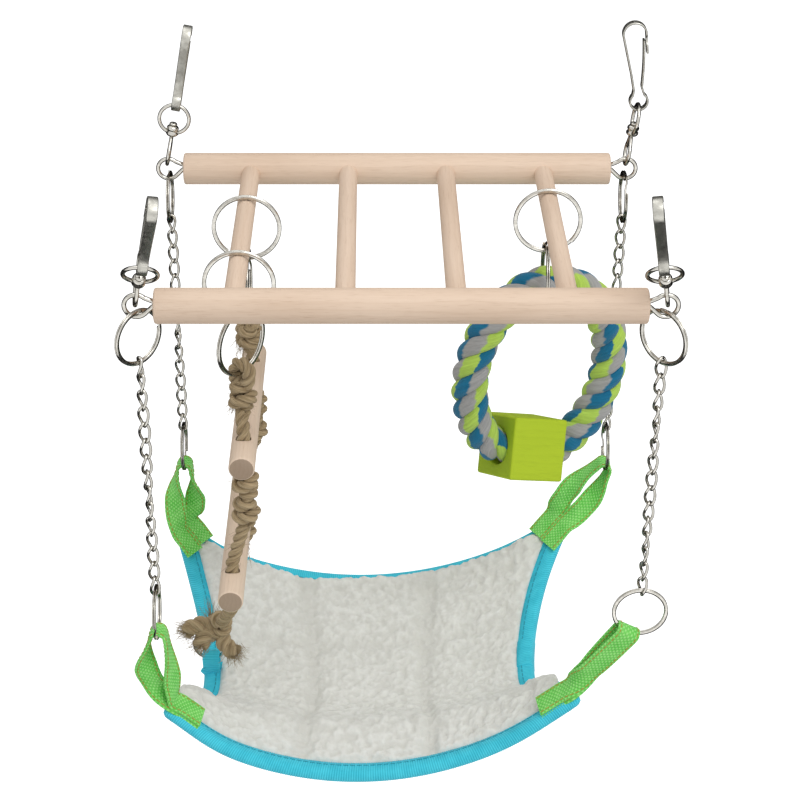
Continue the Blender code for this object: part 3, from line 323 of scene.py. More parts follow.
def piece(name, points, faces, material, uv=None, sharp=None):
    """A named piece, shaded smooth but for edges sharper than an angle."""
    mesh = bpy.data.meshes.new(name)
    mesh.from_pydata(np.asarray(points, float).tolist(), [], faces)
    if uv is not None:
        layer = mesh.uv_layers.new(name="lay")
        layer.data.foreach_set("uv", np.asarray(uv, np.float32).ravel())
    mesh.shade_smooth()
    if sharp is not None:
        mesh.set_sharp_from_angle(angle=math.radians(sharp))
    mesh.materials.append(material)
    made = bpy.data.objects.new(name, mesh)
    scene.collection.objects.link(made)
    return made


def fix(made, body, node=None):
    """Hang a piece on a body of the part, in the place of its node."""
    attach(made, body)
    if node:
        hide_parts(node)


def lathe(profile, sides):
    """A turned solid along Z from a profile of (height, radius), closed where the radius is 0."""
    points = []
    rows = []
    for height, radius in profile:
        start = len(points)
        count = sides if radius > 0 else 1
        for step in range(count):
            angle = 2 * math.pi * step / sides
            points.append((radius * math.cos(angle), radius * math.sin(angle), height))
        rows.append((start, count))
    faces = []
    for (low, low_count), (high, high_count) in zip(rows, rows[1:]):
        for step in range(sides):
            after = (step + 1) % sides
            ring = [low + step % low_count, low + after % low_count]
            ring += [high + after % high_count, high + step % high_count]
            faces.append(tuple(dict.fromkeys(ring)))
    return np.array(points), faces


def moved(points, matrix):
    """Points carried by a matrix."""
    turned = np.array(matrix)
    return np.asarray(points) @ turned[:3, :3].T + turned[:3, 3]


def dowel_profile(length, diameter, edge):
    """A dowel along Z with eased ends, centred."""
    radius = diameter / 2
    half = length / 2
    turns = np.linspace(0, math.pi / 2, EASE_STEPS)
    ease = [(half - edge + edge * math.sin(a), radius - edge + edge * math.cos(a)) for a in turns]
    lower = [(-half, 0.0), (-half, radius * 0.5)] + [(-h, r) for h, r in reversed(ease)]
    return lower + ease + [(half, radius * 0.5), (half, 0.0)]


def grained(made, along, origin, pith):
    """Record each point's place in the log, and which faces are sawn across it."""
    along = Vector(along).normalized()
    across = along.orthogonal().normalized()
    third = along.cross(across)
    mesh = made.data
    points = np.zeros(len(mesh.vertices) * 3, np.float32)
    mesh.vertices.foreach_get("co", points)
    points = points.reshape(-1, 3) - np.array(origin, np.float32)
    axes = np.array([along, across, third])
    place = points @ axes.T + np.array(pith)
    grain = mesh.attributes.new("grain", "FLOAT_VECTOR", "POINT")
    grain.data.foreach_set("vector", place.astype(np.float32).ravel())
    ends = [1.0 if abs(face.normal.dot(along)) > SAWN_FROM else 0.0 for face in mesh.polygons]
    sawn = mesh.attributes.new("sawn", "FLOAT", "FACE")
    sawn.data.foreach_set("value", ends)


birch = wooden("pale_wood", BIRCH_PALE, BIRCH_DEEP, BIRCH_SAWN, BIRCH_RING, BIRCH_ROUGH)
ladder_z = place_of("ladder_rung_swing_front").z
along_x = Matrix.Rotation(math.pi / 2, 4, "Y")
along_y = Matrix.Rotation(math.pi / 2, 4, "X")

for name, side in (("front", -1), ("rear", 1)):
    points, faces = lathe(dowel_profile(RAIL_LENGTH, RAIL_DIAMETER, RAIL_EDGE), RAIL_SIDES)
    home = Vector((0.0, side * RAIL_SPACING / 2, ladder_z))
    points = moved(points, Matrix.Translation(home) @ along_x)
    rail = piece(f"birch_rail_{name}", points, faces, birch, sharp=SHARP_RIM)
    heart = (RAIL_HEART[0] * side, RAIL_HEART[1] + RAIL_SHIFT * side, RAIL_HEART[2])
    grained(rail, (1, 0, 0), home, heart)
    fix(rail, "bridge", f"rail_{name}")

rung_length = RAIL_SPACING - RAIL_DIAMETER + 2 * RUNG_SEAT
for number in (1, 2, 3, 4):
    low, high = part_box(f"rung_{number}")
    home = Vector(((low[0] + high[0]) / 2, 0.0, ladder_z))
    points, faces = lathe(dowel_profile(rung_length, RUNG_DIAMETER, RUNG_EDGE), RUNG_SIDES)
    points = moved(points, Matrix.Translation(home) @ along_y)
    rung = piece(f"birch_rung_{number}", points, faces, birch, sharp=SHARP_RIM)
    heart = (RUNG_HEART[0] * number, RUNG_HEART[1], RUNG_HEART[2] + RUNG_SHIFT * number)
    grained(rung, (0, 1, 0), home, heart)
    fix(rung, "bridge", f"rung_{number}")

# Screw eyes: nickel-plated wire bent to a drop-shaped eye, its threaded shank turned into the end
# grain of a rail.
EYE_WIRE = 0.0019
EYE_RADIUS = 0.0047
EYE_BEND = math.radians(45.0)
EYE_SHANK = 0.009
EYE_EASE = 0.0004
EYE_TIP = 0.0002
EYE_TOUCH = 0.95
EYE_STEPS = 40
WIRE_SIDES = 14
# How a cut end of wire is rounded off, and a direction that no wire here runs along
END_TURN = math.pi / 2 * 0.93
END_STEPS = 5
WIRE_ASIDE = (0.31, 0.83, 0.46)
CORNERS = {"fl": (-1, -1), "fr": (1, -1), "rl": (-1, 1), "rr": (1, 1)}
NICKEL_BRIGHT = (0.66, 0.64, 0.59)
NICKEL_DULL = (0.50, 0.48, 0.43)
NICKEL_ROUGH = (0.13, 0.27)
PLATE_TINT = (0.25, 0.24, 0.22, 1.0)

# Plating: bright metal, a little clouded and duller in patches
HAZE_SCALE = 420.0
HAZE_SHARE = 0.7
SCUFF_PACKING = (900.0, 900.0, 2600.0)
SCUFF_SHARE = 0.3
plating, given, result = effect(
    "worn_plating",
    {"Place": "Vector", "Bright": "Color", "Dull": "Color", "Polished": "Float", "Scuffed": "Float"},
    {"Color": "Color", "Roughness": "Float"},
)
haze = clouds(plating, given["Place"], HAZE_SCALE, 3.0)
scuff = streaks(plating, given["Place"], SCUFF_PACKING)
worn = ramp(plating, mixture(plating, (haze, HAZE_SHARE), (scuff, SCUFF_SHARE)), 0.35, 0.7)
plating.links.new(blend(plating, worn, given["Bright"], given["Dull"]), result["Color"])
plating.links.new(ramp(plating, worn, 0.0, 1.0, given["Polished"], given["Scuffed"]), result["Roughness"])


def plated(name, bright, dull, polished, scuffed):
    """Plated steel, with its roughness where it is polished and where it is scuffed."""
    made, tree, shader = material_of(name, metallic=1.0, specular_tint=PLATE_TINT)
    inputs = {
        "Place": put(tree, "ShaderNodeTexCoord").outputs["Object"],
        "Bright": (*bright, 1.0),
        "Dull": (*dull, 1.0),
        "Polished": polished,
        "Scuffed": scuffed,
    }
    finish = put(tree, "ShaderNodeGroup", node_tree=plating, inputs=inputs)
    tree.links.new(finish.outputs["Color"], shader.inputs["Base Color"])
    tree.links.new(finish.outputs["Roughness"], shader.inputs["Roughness"])
    return made


nickel = plated("nickel_plate", NICKEL_BRIGHT, NICKEL_DULL, *NICKEL_ROUGH)


def lengths(line, closed=False):
    """How far along a line each of its points is."""
    ends = np.vstack([line, line[:1]]) if closed else line
    return np.concatenate([[0.0], np.cumsum(np.linalg.norm(np.diff(ends, axis=0), axis=1))])


def headings(line):
    """The direction of a line at each of its points."""
    along = np.gradient(line, axis=0)
    return along / np.linalg.norm(along, axis=1)[:, None]


def squared(sides, along):
    """Directions turned square to a line's headings."""
    sides = sides - along * (sides * along).sum(1)[:, None]
    return sides / np.linalg.norm(sides, axis=1)[:, None]


def carried(along, aside):
    """A direction square to a line's headings, carried along it without twist."""
    now = np.cross(along[0], aside)
    sides = np.zeros_like(along)
    for index, way in enumerate(along):
        now = now - way * now.dot(way)
        now /= np.linalg.norm(now)
        sides[index] = now
    return sides


def sweep(line, section, closed=False, side=None, scale=None, round_ends=False):
    """A section drawn along a line. The section's first axis points along side, a direction or one
    for each point, or is carried without twist. Gives points, faces and lay: how far along and
    how far round, in metres."""
    line = np.asarray(line, float)
    section = np.asarray(section, float)
    scale = np.ones(len(line)) if scale is None else np.asarray(scale, float)
    if round_ends:
        reach = np.abs(section).max()
        turns = np.linspace(0, END_TURN, END_STEPS)[1:]
        first = line[0] - line[1]
        last = line[-1] - line[-2]
        head = line[0] + np.outer(np.sin(turns[::-1]), first / np.linalg.norm(first)) * reach
        tail = line[-1] + np.outer(np.sin(turns), last / np.linalg.norm(last)) * reach
        line = np.vstack([head, line, tail])
        scale = np.concatenate([np.cos(turns[::-1]) * scale[0], scale, np.cos(turns) * scale[-1]])
    if closed:
        along = np.roll(line, -1, axis=0) - np.roll(line, 1, axis=0)
        along /= np.linalg.norm(along, axis=1)[:, None]
    else:
        along = headings(line)
    if side is None:
        sides = carried(along, WIRE_ASIDE)
    else:
        sides = squared(np.broadcast_to(np.asarray(side, float), along.shape), along)
    ups = np.cross(along, sides)
    shape = section[None] * scale[:, None, None]
    points = line[:, None] + shape[:, :, :1] * sides[:, None] + shape[:, :, 1:] * ups[:, None]
    points = points.reshape(-1, 3)
    count = len(line)
    around = len(section)
    rows = np.arange(count if closed else count - 1)[:, None]
    cols = np.arange(around)[None]
    below = rows * around
    above = ((rows + 1) % count) * around
    after = (cols + 1) % around
    quads = np.stack([below + cols, below + after, above + after, above + cols], axis=-1).reshape(-1, 4)
    far = lengths(line, closed)
    wide = lengths(section, True)
    us = np.stack([far[rows + step] + 0 * cols for step in (0, 0, 1, 1)], axis=-1)
    vs = np.stack([wide[cols + step] + 0 * rows for step in (0, 1, 1, 0)], axis=-1)
    lay = np.stack([us, vs], axis=-1).reshape(-1, 2)
    faces = quads.tolist()
    if not closed:
        faces.append(list(range(around))[::-1])
        faces.append([(count - 1) * around + index for index in range(around)])
        ends = [np.stack([np.full(around, end), wide[:-1]], axis=1) for end in (far[0], far[-1])]
        lay = np.vstack([lay, *ends])
    corners = points[quads]
    volume = np.einsum("ij,ij->i", corners[:, 0], np.cross(corners[:, 1], corners[:, 2])).sum()
    volume += np.einsum("ij,ij->i", corners[:, 0], np.cross(corners[:, 2], corners[:, 3])).sum()
    if volume < 0:
        faces = [face[::-1] for face in faces]
        sizes = [len(face) for face in faces]
        starts = np.concatenate([[0], np.cumsum(sizes)])
        lay = np.concatenate([lay[a:b][::-1] for a, b in zip(starts, starts[1:])])
    return points, faces, lay


def round_section(diameter, sides):
    """A round wire's section."""
    angles = np.linspace(0.0, 2 * math.pi, sides, endpoint=False)
    return np.stack([np.cos(angles), np.sin(angles)], axis=1) * diameter / 2


def eased(line, rounds=2):
    """A line with its corners cut off a few times over."""
    line = np.asarray(line, float)
    for _ in range(rounds):
        cut = np.empty((2 * len(line) - 2, 3))
        cut[0::2] = line[:-1] * 0.75 + line[1:] * 0.25
        cut[1::2] = line[:-1] * 0.25 + line[1:] * 0.75
        line = np.vstack([line[:1], cut, line[-1:]])
    return line


def drop_eye(radius, shank, wire):
    """A wire that comes along +X, opens into an eye about the origin in the XZ plane and closes on
    its own shank."""
    bend = -radius / math.cos(EYE_BEND)
    angles = np.linspace(EYE_BEND - math.pi, math.pi - EYE_BEND, EYE_STEPS)
    loop = [(radius * math.cos(a), 0.0, radius * math.sin(a)) for a in angles]
    start = [(bend - shank, 0.0, 0.0), (bend - EYE_EASE, 0.0, 0.0), (bend + EYE_EASE, 0.0, -EYE_EASE)]
    return eased(start + loop + [(bend - EYE_TIP, 0.0, wire * EYE_TOUCH)])


for corner, (side_x, side_y) in CORNERS.items():
    middle = (place_of(f"hook_lean_{corner}") + place_of(f"ring_swing_{corner}")) / 2
    outward = Matrix.Translation(middle) @ Matrix.Rotation(0.0 if side_x > 0 else math.pi, 4, "Z")
    bent = drop_eye(EYE_RADIUS, EYE_SHANK, EYE_WIRE)
    points, faces, lay = sweep(bent, round_section(EYE_WIRE, WIRE_SIDES), round_ends=True)
    eye = piece(f"wire_eye_{corner}", moved(points, outward), faces, nickel, lay)
    fix(eye, "bridge", f"screw_eye_{corner}")

# Swivels: a wire eye on a stem, held in a ridged collar that turns on it, with a second eye on the
# collar. The stem's head is riveted over inside the upper eye.
SWIVEL_WIRE = 0.0017
SWIVEL_LOWER_RADIUS = 0.00525
SWIVEL_UPPER_RADIUS = 0.00655
SWIVEL_STEPS = 56
COLLAR_DIAMETER = 0.0055
COLLAR_HEIGHT = 0.0048
COLLAR_SIDES = 40
RIVET_DIAMETER = 0.0036
RIVET_SIDES = 24
SHARP_COLLAR = 70
GAP = 0.0003
HOOK_LEAN = {"fl": 40.0, "fr": 40.0, "rl": 0.0, "rr": 0.0}
HOOK_ROLL = {"fl": 12.0, "fr": -11.0, "rl": 11.0, "rr": 9.0}
HOOK_SPIN = {"fl": 0.0, "fr": 0.0, "rl": 0.0, "rr": -90.0}
# The collar's ridges and groove as shares of its height and radius, and the rivet's dome as heights
# above the collar with shares of its radius
COLLAR_SHAPE = ((0.0, 0.40), (0.0, 0.72), (0.06, 0.86), (0.18, 1.0), (0.34, 1.0), (0.44, 0.84))
COLLAR_SHAPE += ((0.54, 0.84), (0.64, 0.97), (0.80, 0.97), (0.92, 0.80), (1.0, 0.66), (1.0, 0.40))
RIVET_SHAPE = ((0.0, 0.0), (0.0, 0.9), (0.0004, 1.0), (0.0008, 0.85), (0.0011, 0.45), (0.0012, 0.0))

lower_eye = SWIVEL_LOWER_RADIUS - (EYE_WIRE + SWIVEL_WIRE) / 2 - GAP
stem_start = lower_eye + SWIVEL_LOWER_RADIUS / math.cos(EYE_BEND)
collar_low = stem_start + SWIVEL_WIRE / 2
collar_high = collar_low + COLLAR_HEIGHT
upper_eye = collar_low + COLLAR_HEIGHT / 4 + SWIVEL_UPPER_RADIUS
hook_wire = upper_eye + SWIVEL_UPPER_RADIUS


def turn(axis, degrees):
    """A rotation."""
    return Matrix.Rotation(math.radians(degrees), 4, axis)


def joined(*solids):
    """Several swept or turned solids as one set of points, faces and lay."""
    points = []
    faces = []
    lays = []
    for solid in solids:
        start = sum(len(block) for block in points)
        points.append(solid[0])
        faces += [[index + start for index in face] for face in solid[1]]
        corners = sum(len(face) for face in solid[1])
        lays.append(solid[2] if len(solid) > 2 else np.zeros((corners, 2)))
    return np.vstack(points), faces, np.vstack(lays)


def collar_profile():
    """A collar pressed to two ridges with a groove between."""
    rows = [(collar_low + COLLAR_HEIGHT * up, COLLAR_DIAMETER / 2 * out) for up, out in COLLAR_SHAPE]
    return [(collar_low, 0.0)] + rows + [(collar_high, 0.0)]


def on_screw_eye(corner):
    """How a corner's swivel hangs in its screw eye."""
    home = Matrix.Translation(place_of(f"hook_lean_{corner}"))
    return home @ turn("X", HOOK_LEAN[corner]) @ turn("Y", HOOK_ROLL[corner])


for corner in CORNERS:
    head = collar_high + GAP
    stem = drop_eye(SWIVEL_LOWER_RADIUS, head - stem_start, SWIVEL_WIRE)
    stem = np.stack([0 * stem[:, 0], stem[:, 2], lower_eye - stem[:, 0]], axis=1)
    wire = sweep(stem, round_section(SWIVEL_WIRE, WIRE_SIDES), round_ends=True)
    rivet = lathe([(head + up, out * RIVET_DIAMETER / 2) for up, out in RIVET_SHAPE], RIVET_SIDES)
    points, faces, lay = joined(wire, rivet)
    points = moved(points, on_screw_eye(corner))
    base = piece(f"swivel_stem_{corner}", points, faces, nickel, lay, sharp=SHARP_COLLAR)
    fix(base, f"swivel_base_{corner}", f"swivel_base_{corner}")
    angles = np.linspace(0.0, 2 * math.pi, SWIVEL_STEPS, endpoint=False)
    ring = np.stack([np.cos(angles), 0 * angles, np.sin(angles)], axis=1) * SWIVEL_UPPER_RADIUS
    ring = ring + np.array((0.0, 0.0, upper_eye))
    loop = sweep(ring, round_section(SWIVEL_WIRE, WIRE_SIDES), closed=True, side=(0, 1, 0))
    points, faces, lay = joined(loop, lathe(collar_profile(), COLLAR_SIDES))
    points = moved(points, on_screw_eye(corner) @ turn("Z", HOOK_SPIN[corner]))
    eye = piece(f"swivel_collar_{corner}", points, faces, nickel, lay, sharp=SHARP_COLLAR)
    fix(eye, f"swivel_eye_{corner}", f"swivel_eye_{corner}")

# Snap hooks: flat spring strip bent to a small lower loop, a neck, a back and a bow that ends in a
# nose. The strip's other leg springs up inside the nose and closes the hook.
STRIP_WIDTH = 0.004
STRIP_THICKNESS = 0.0009
HOOK_LENGTH = 0.0405
LOOP_RADIUS = 0.00385
BOW_RADIUS = 0.00495
LOOP_OPENING = 80.0
BEND_STEPS = 40
NECK_HALF = 0.0017
NECK_RISE = 0.0024
NOSE_DROP = 0.0145
NOSE_STEPS = 22
NOTCH_FROM = 0.0105
NOTCH_TO = 0.0065
NOTCH_SHARE = 0.30
GATE_TIP_DROP = 0.0085
GATE_BELLY = 0.00035
GATE_STEPS = 24
EDGE_POINTS = 7
SHARP_STRIP = 50
HOOK_TILT = {"fl": -14.0, "fr": -14.0, "rl": 6.0, "rr": 16.0}
STEEL_BRIGHT = (0.56, 0.55, 0.50)
STEEL_DULL = (0.42, 0.41, 0.37)
STEEL_ROUGH = (0.36, 0.50)

eye_drop = SWIVEL_UPPER_RADIUS - math.sqrt(SWIVEL_UPPER_RADIUS**2 - (STRIP_WIDTH / 2) ** 2)
loop_middle = LOOP_RADIUS - (SWIVEL_WIRE + STRIP_THICKNESS) / 2 - GAP - eye_drop
hook_top = loop_middle - LOOP_RADIUS - STRIP_THICKNESS / 2 + HOOK_LENGTH
bow_middle = hook_top - STRIP_THICKNESS / 2 - BOW_RADIUS
neck_height = loop_middle + LOOP_RADIUS + NECK_RISE

steel = plated("spring_steel", STEEL_BRIGHT, STEEL_DULL, *STEEL_ROUGH)


def bend(middle, radius, start, end, steps):
    """Points on a bend, drawn flat as (0, across, up)."""
    angles = np.radians(np.linspace(start, end, steps))
    return [(0.0, radius * math.cos(a), middle + radius * math.sin(a)) for a in angles]


def strip(line, widths):
    """Flat strip with rounded edges along a line, its width along X, as wide at each point as given."""
    half = STRIP_THICKNESS / 2
    edge_turns = np.linspace(-math.pi / 2, math.pi / 2, EDGE_POINTS)
    round_edge = [(math.cos(a), math.sin(a)) for a in edge_turns]
    section = [(1 - half / (STRIP_WIDTH / 2) + half / (STRIP_WIDTH / 2) * x, y) for x, y in round_edge]
    section += [(-x, -y) for x, y in section]
    section = np.array(section) * (STRIP_WIDTH / 2, half)
    points, faces, lay = sweep(line, section, side=(1, 0, 0))
    rows = points.reshape(len(line), len(section), 3)
    rows[:, :, 0] = np.clip(rows[:, :, 0], np.asarray(widths)[:, :1], np.asarray(widths)[:, 1:])
    return rows.reshape(-1, 3), faces, lay


loop_bend = bend(loop_middle, LOOP_RADIUS, 90.0 - LOOP_OPENING / 2, LOOP_OPENING / 2 - 270.0, BEND_STEPS)
bow_bend = bend(bow_middle, BOW_RADIUS, 180.0, 0.0, BEND_STEPS)
nose_heights = np.linspace(bow_middle, hook_top - NOSE_DROP, NOSE_STEPS)[1:]
nose = [(0.0, BOW_RADIUS, height) for height in nose_heights]
hook_line = [(0.0, NECK_HALF, neck_height)] + loop_bend + [(0.0, -NECK_HALF, neck_height)] + bow_bend
hook_line = np.vstack([eased(hook_line, 1), nose])
gate_tip = (0.0, BOW_RADIUS - STRIP_THICKNESS - GAP, hook_top - GATE_TIP_DROP)
gate_line = np.linspace((0.0, NECK_HALF, neck_height + GAP), gate_tip, GATE_STEPS)
gate_line[:, 1] += GATE_BELLY * np.sin(np.linspace(0.0, math.pi, GATE_STEPS))


def notched(line, low, high):
    """Full width, but for a half-round notch in one edge of the nose between two heights."""
    widths = []
    for _, across, up in line:
        share = (up - low) / (high - low)
        deep = math.sqrt(max(0.0, 1 - (2 * share - 1) ** 2)) if across > 0 and 0 < share < 1 else 0.0
        widths.append((-STRIP_WIDTH / 2, STRIP_WIDTH / 2 - deep * STRIP_WIDTH * NOTCH_SHARE))
    return widths


for corner in CORNERS:
    spun = on_screw_eye(corner) @ turn("Z", HOOK_SPIN[corner])
    stands = spun @ Matrix.Translation((0, 0, hook_wire)) @ turn("X", HOOK_TILT[corner])
    points, faces, lay = strip(hook_line, notched(hook_line, hook_top - NOTCH_FROM, hook_top - NOTCH_TO))
    hook = piece(f"strip_hook_{corner}", moved(points, stands), faces, steel, lay, sharp=SHARP_STRIP)
    fix(hook, f"snap_hook_{corner}", f"snap_hook_{corner}")
    points, faces, lay = strip(gate_line, [(-STRIP_WIDTH / 2, STRIP_WIDTH / 2)] * len(gate_line))
    gate = piece(f"strip_gate_{corner}", moved(points, stands), faces, steel, lay, sharp=SHARP_STRIP)
    fix(gate, f"snap_gate_{corner}", f"snap_gate_{corner}")

# Split rings: two turns of flat plated wire lying side by side, with a jog where the wire crosses
# over and both cut ends beside it.
SMALL_RING = (0.0237, 0.0017)
LARGE_RING = (0.0300, 0.0018)
TIE_RING = (0.0165, 0.0015)
UPPER_RING_YAW = {"fl": 48.0, "fr": 132.0, "rl": 90.0, "rr": 90.0}
LOWER_RING_YAW = {"fl": 90.0, "fr": 0.0, "rl": 90.0, "rr": 90.0}
LADDER_RING_YAW = {"front": 54.0, "rear": 90.0}
TOY_RING_YAW = 90.0
JOG = math.radians(26.0)
CUT = math.radians(5.0)
RING_STEPS = 240
RING_SIDES = 16
RING_SQUARE = 0.9
RING_LAYER = 0.245
# Where each ring's jog is, in degrees round it, and how far it moves from corner to corner
UPPER_JOG = (20.0, 37.0)
LOWER_JOG = (200.0, 49.0)
LADDER_RUNG_JOG = 250.0
LADDER_ROPE_JOG = 15.0
TOY_RUNG_JOG = 300.0
TOY_ROPE_JOG = 75.0
TIE_JOG = 150.0
LINK_GAP = LARGE_RING[1] + GAP


def split_ring(outer, wire, start):
    """A split ring in the XZ plane about the origin, its jog at a start angle."""
    radius = (outer - wire) / 2
    angles = np.linspace(JOG / 2 + CUT, 4 * math.pi - JOG / 2 - CUT, RING_STEPS)
    step = np.clip((angles - (2 * math.pi - JOG / 2)) / JOG, 0.0, 1.0)
    layer = (step * step * (3 - 2 * step) * 2 - 1) * wire / 4
    line = np.stack([radius * np.cos(angles + start), layer, radius * np.sin(angles + start)], axis=1)
    outward = np.stack([np.cos(angles + start), 0 * angles, np.sin(angles + start)], axis=1)
    corner = np.linspace(0.0, 2 * math.pi, RING_SIDES, endpoint=False) + math.pi / RING_SIDES
    flat = np.sign(np.cos(corner)) * np.abs(np.cos(corner)) ** RING_SQUARE * wire / 2
    thick = np.sign(np.sin(corner)) * np.abs(np.sin(corner)) ** RING_SQUARE * wire * RING_LAYER
    return sweep(line, np.stack([flat, thick], axis=1), side=outward)


def add_ring(node, body, size, centre, yaw, start):
    """A split ring in the place of its node."""
    points, faces, lay = split_ring(*size, math.radians(start))
    home = Matrix.Translation(centre) @ turn("Z", yaw)
    ring = piece(f"split_{node}", moved(points, home), faces, nickel, lay, sharp=SHARP_RIM)
    fix(ring, body, node)


def ring_reach(size):
    """From a ring's centre to the middle of its wire."""
    return (size[0] - size[1]) / 2


def hung(point, size):
    """The centre of a ring whose wire's lowest point is given."""
    return point + Vector((0.0, 0.0, ring_reach(size)))


def hanging(point, size):
    """The centre of a ring whose wire's highest point is given."""
    return point - Vector((0.0, 0.0, ring_reach(size)))


def linked_below(point):
    """The centre of a large ring that hangs in another, whose wire's lowest point is given."""
    return hanging(point + Vector((0.0, 0.0, LINK_GAP)), LARGE_RING)


for number, corner in enumerate(CORNERS):
    node = f"upper_ring_{corner}"
    centre = hung(place_of(f"chain_sway_{corner}"), SMALL_RING)
    jog = UPPER_JOG[0] + UPPER_JOG[1] * number
    add_ring(node, node, SMALL_RING, centre, UPPER_RING_YAW[corner], jog)
    node = f"lower_ring_{corner}"
    centre = hanging(place_of(f"lower_ring_sway_{corner}"), SMALL_RING)
    jog = LOWER_JOG[0] + LOWER_JOG[1] * number
    add_ring(node, node, SMALL_RING, centre, LOWER_RING_YAW[corner], jog)

for name, yaw in LADDER_RING_YAW.items():
    node = f"ladder_rung_ring_{name}"
    low = place_of(f"ladder_rope_swing_{name}")
    add_ring(node, node, LARGE_RING, hung(low, LARGE_RING), 0.0, LADDER_RUNG_JOG)
    node = f"ladder_rope_ring_{name}"
    add_ring(node, f"ladder_rope_{name}", LARGE_RING, linked_below(low), yaw, LADDER_ROPE_JOG)
low = place_of("toy_ring_swing")
add_ring("toy_rung_ring", "toy_rung_ring", LARGE_RING, hung(low, LARGE_RING), 0.0, TOY_RUNG_JOG)
add_ring("toy_rope_ring", "toy_rope_ring", LARGE_RING, linked_below(low), TOY_RING_YAW, TOY_ROPE_JOG)
add_ring("tie_ring", "tie_ring", TIE_RING, place_of("tie_ring_turn"), 0.0, TIE_JOG)

# Chains: twisted curb links of thin plated wire, each through the next, from the upper ring's wire
# down to the lower ring's. The chain turns on itself on the way down.
LINK_WIRE = 0.00125
LINK_WIDTH = 0.0053
LINK_COUNT = 15
LINK_PITCH = 0.007442
LINK_TWIST = 90.0
LINK_TURN = 22.0
LINK_OVAL = 0.8
LINK_STEPS = 40
LINK_SIDES = 10
LEAST_LEAN = 1e-6


def link_solid():
    """One curb link: an oval of wire, twisted a quarter turn along its length."""
    half = (LINK_PITCH + LINK_WIRE) / 2
    half_width = (LINK_WIDTH - LINK_WIRE) / 2
    angles = np.linspace(0.0, 2 * math.pi, LINK_STEPS, endpoint=False)
    across = half_width * np.sign(np.cos(angles)) * np.abs(np.cos(angles)) ** LINK_OVAL
    up = half * np.sin(angles)
    twist = math.radians(LINK_TWIST / 2) * up / half
    line = np.stack([across * np.cos(twist), across * np.sin(twist), up], axis=1)
    outward = np.stack([line[:, 0], line[:, 1], 0 * up], axis=1) + (0, 0, LEAST_LEAN)
    return sweep(line, round_section(LINK_WIRE, LINK_SIDES), closed=True, side=outward)


def shape_group(name, inputs):
    """An empty geometry group with a geometry in and out and named inputs."""
    group = bpy.data.node_groups.new(name, "GeometryNodeTree")
    group.interface.new_socket("Geometry", in_out="INPUT", socket_type="NodeSocketGeometry")
    for label, kind in inputs.items():
        group.interface.new_socket(label, in_out="INPUT", socket_type=f"NodeSocket{kind}")
    group.interface.new_socket("Geometry", in_out="OUTPUT", socket_type="NodeSocketGeometry")
    return group, put(group, "NodeGroupInput").outputs, put(group, "NodeGroupOutput").inputs


def grown(name, base, group, values):
    """The plain mesh that a geometry group makes from a base mesh, as a new object."""
    holder = bpy.data.objects.new(name, base)
    scene.collection.objects.link(holder)
    modifier = holder.modifiers.new("grow", "NODES")
    modifier.node_group = group
    for item in group.interface.items_tree:
        if item.in_out == "INPUT" and item.name in values:
            modifier[item.identifier] = values[item.name]
    holder.update_tag()
    depsgraph = bpy.context.evaluated_depsgraph_get()
    mesh = bpy.data.meshes.new_from_object(holder.evaluated_get(depsgraph))
    holder.modifiers.remove(modifier)
    holder.data = mesh
    mesh.name = name
    return holder


def repeated(group, given, result, shape, points, rotation):
    """One shape set on points and turned, as plain geometry in its material."""
    one = put(group, "GeometryNodeObjectInfo", {"Object": given[shape]})
    inputs = {"Points": points, "Instance": one.outputs["Geometry"], "Rotation": rotation}
    placed = put(group, "GeometryNodeInstanceOnPoints", inputs)
    real = put(group, "GeometryNodeRealizeInstances", {0: placed.outputs[0]})
    inputs = {"Geometry": real.outputs[0], "Material": given["Material"]}
    coloured = put(group, "GeometryNodeSetMaterial", inputs)
    group.links.new(coloured.outputs[0], result["Geometry"])


row_inputs = {"Link": "Object", "Count": "Int", "Pitch": "Float", "First Turn": "Float", "Turn": "Float"}
links, given, result = shape_group("links_in_a_row", {**row_inputs, "Material": "Material"})
drop = put(links, "ShaderNodeCombineXYZ", {2: sums(links, "MULTIPLY", given["Pitch"], -1.0)})
row = put(links, "GeometryNodeMeshLine", {"Count": given["Count"], "Offset": drop.outputs[0]})
number = put(links, "GeometryNodeInputIndex").outputs[0]
angle = sums(links, "ADD", sums(links, "MULTIPLY", number, given["Turn"]), given["First Turn"])
spin = put(links, "ShaderNodeCombineXYZ", {2: angle})
repeated(links, given, result, "Link", row.outputs[0], spin.outputs[0])

points, faces, lay = link_solid()
pattern = piece("curb_link", points, faces, nickel, lay)
for corner in CORNERS:
    square = LOWER_RING_YAW[corner] - UPPER_RING_YAW[corner] + LINK_TWIST
    half_turns = round((LINK_TURN * (LINK_COUNT - 1) - square) / 180.0)
    each = (square + 180.0 * half_turns) / (LINK_COUNT - 1)
    values = {
        "Link": pattern,
        "Count": LINK_COUNT,
        "Pitch": LINK_PITCH,
        "First Turn": math.radians(UPPER_RING_YAW[corner] + 90.0 - LINK_TWIST / 2),
        "Turn": math.radians(each),
        "Material": nickel,
    }
    chain = grown(f"curb_chain_{corner}", bpy.data.meshes.new("row"), links, values)
    top = place_of(f"chain_sway_{corner}")
    bottom = place_of(f"lower_ring_sway_{corner}")
    span = (LINK_COUNT - 1) * LINK_PITCH
    first = (top.z + bottom.z + span) / 2
    chain.data.transform(Matrix.Translation((top.x, top.y, first)))
    chain.data.shade_smooth()
    fix(chain, f"chain_{corner}", f"chain_{corner}")
bpy.data.objects.remove(pattern)

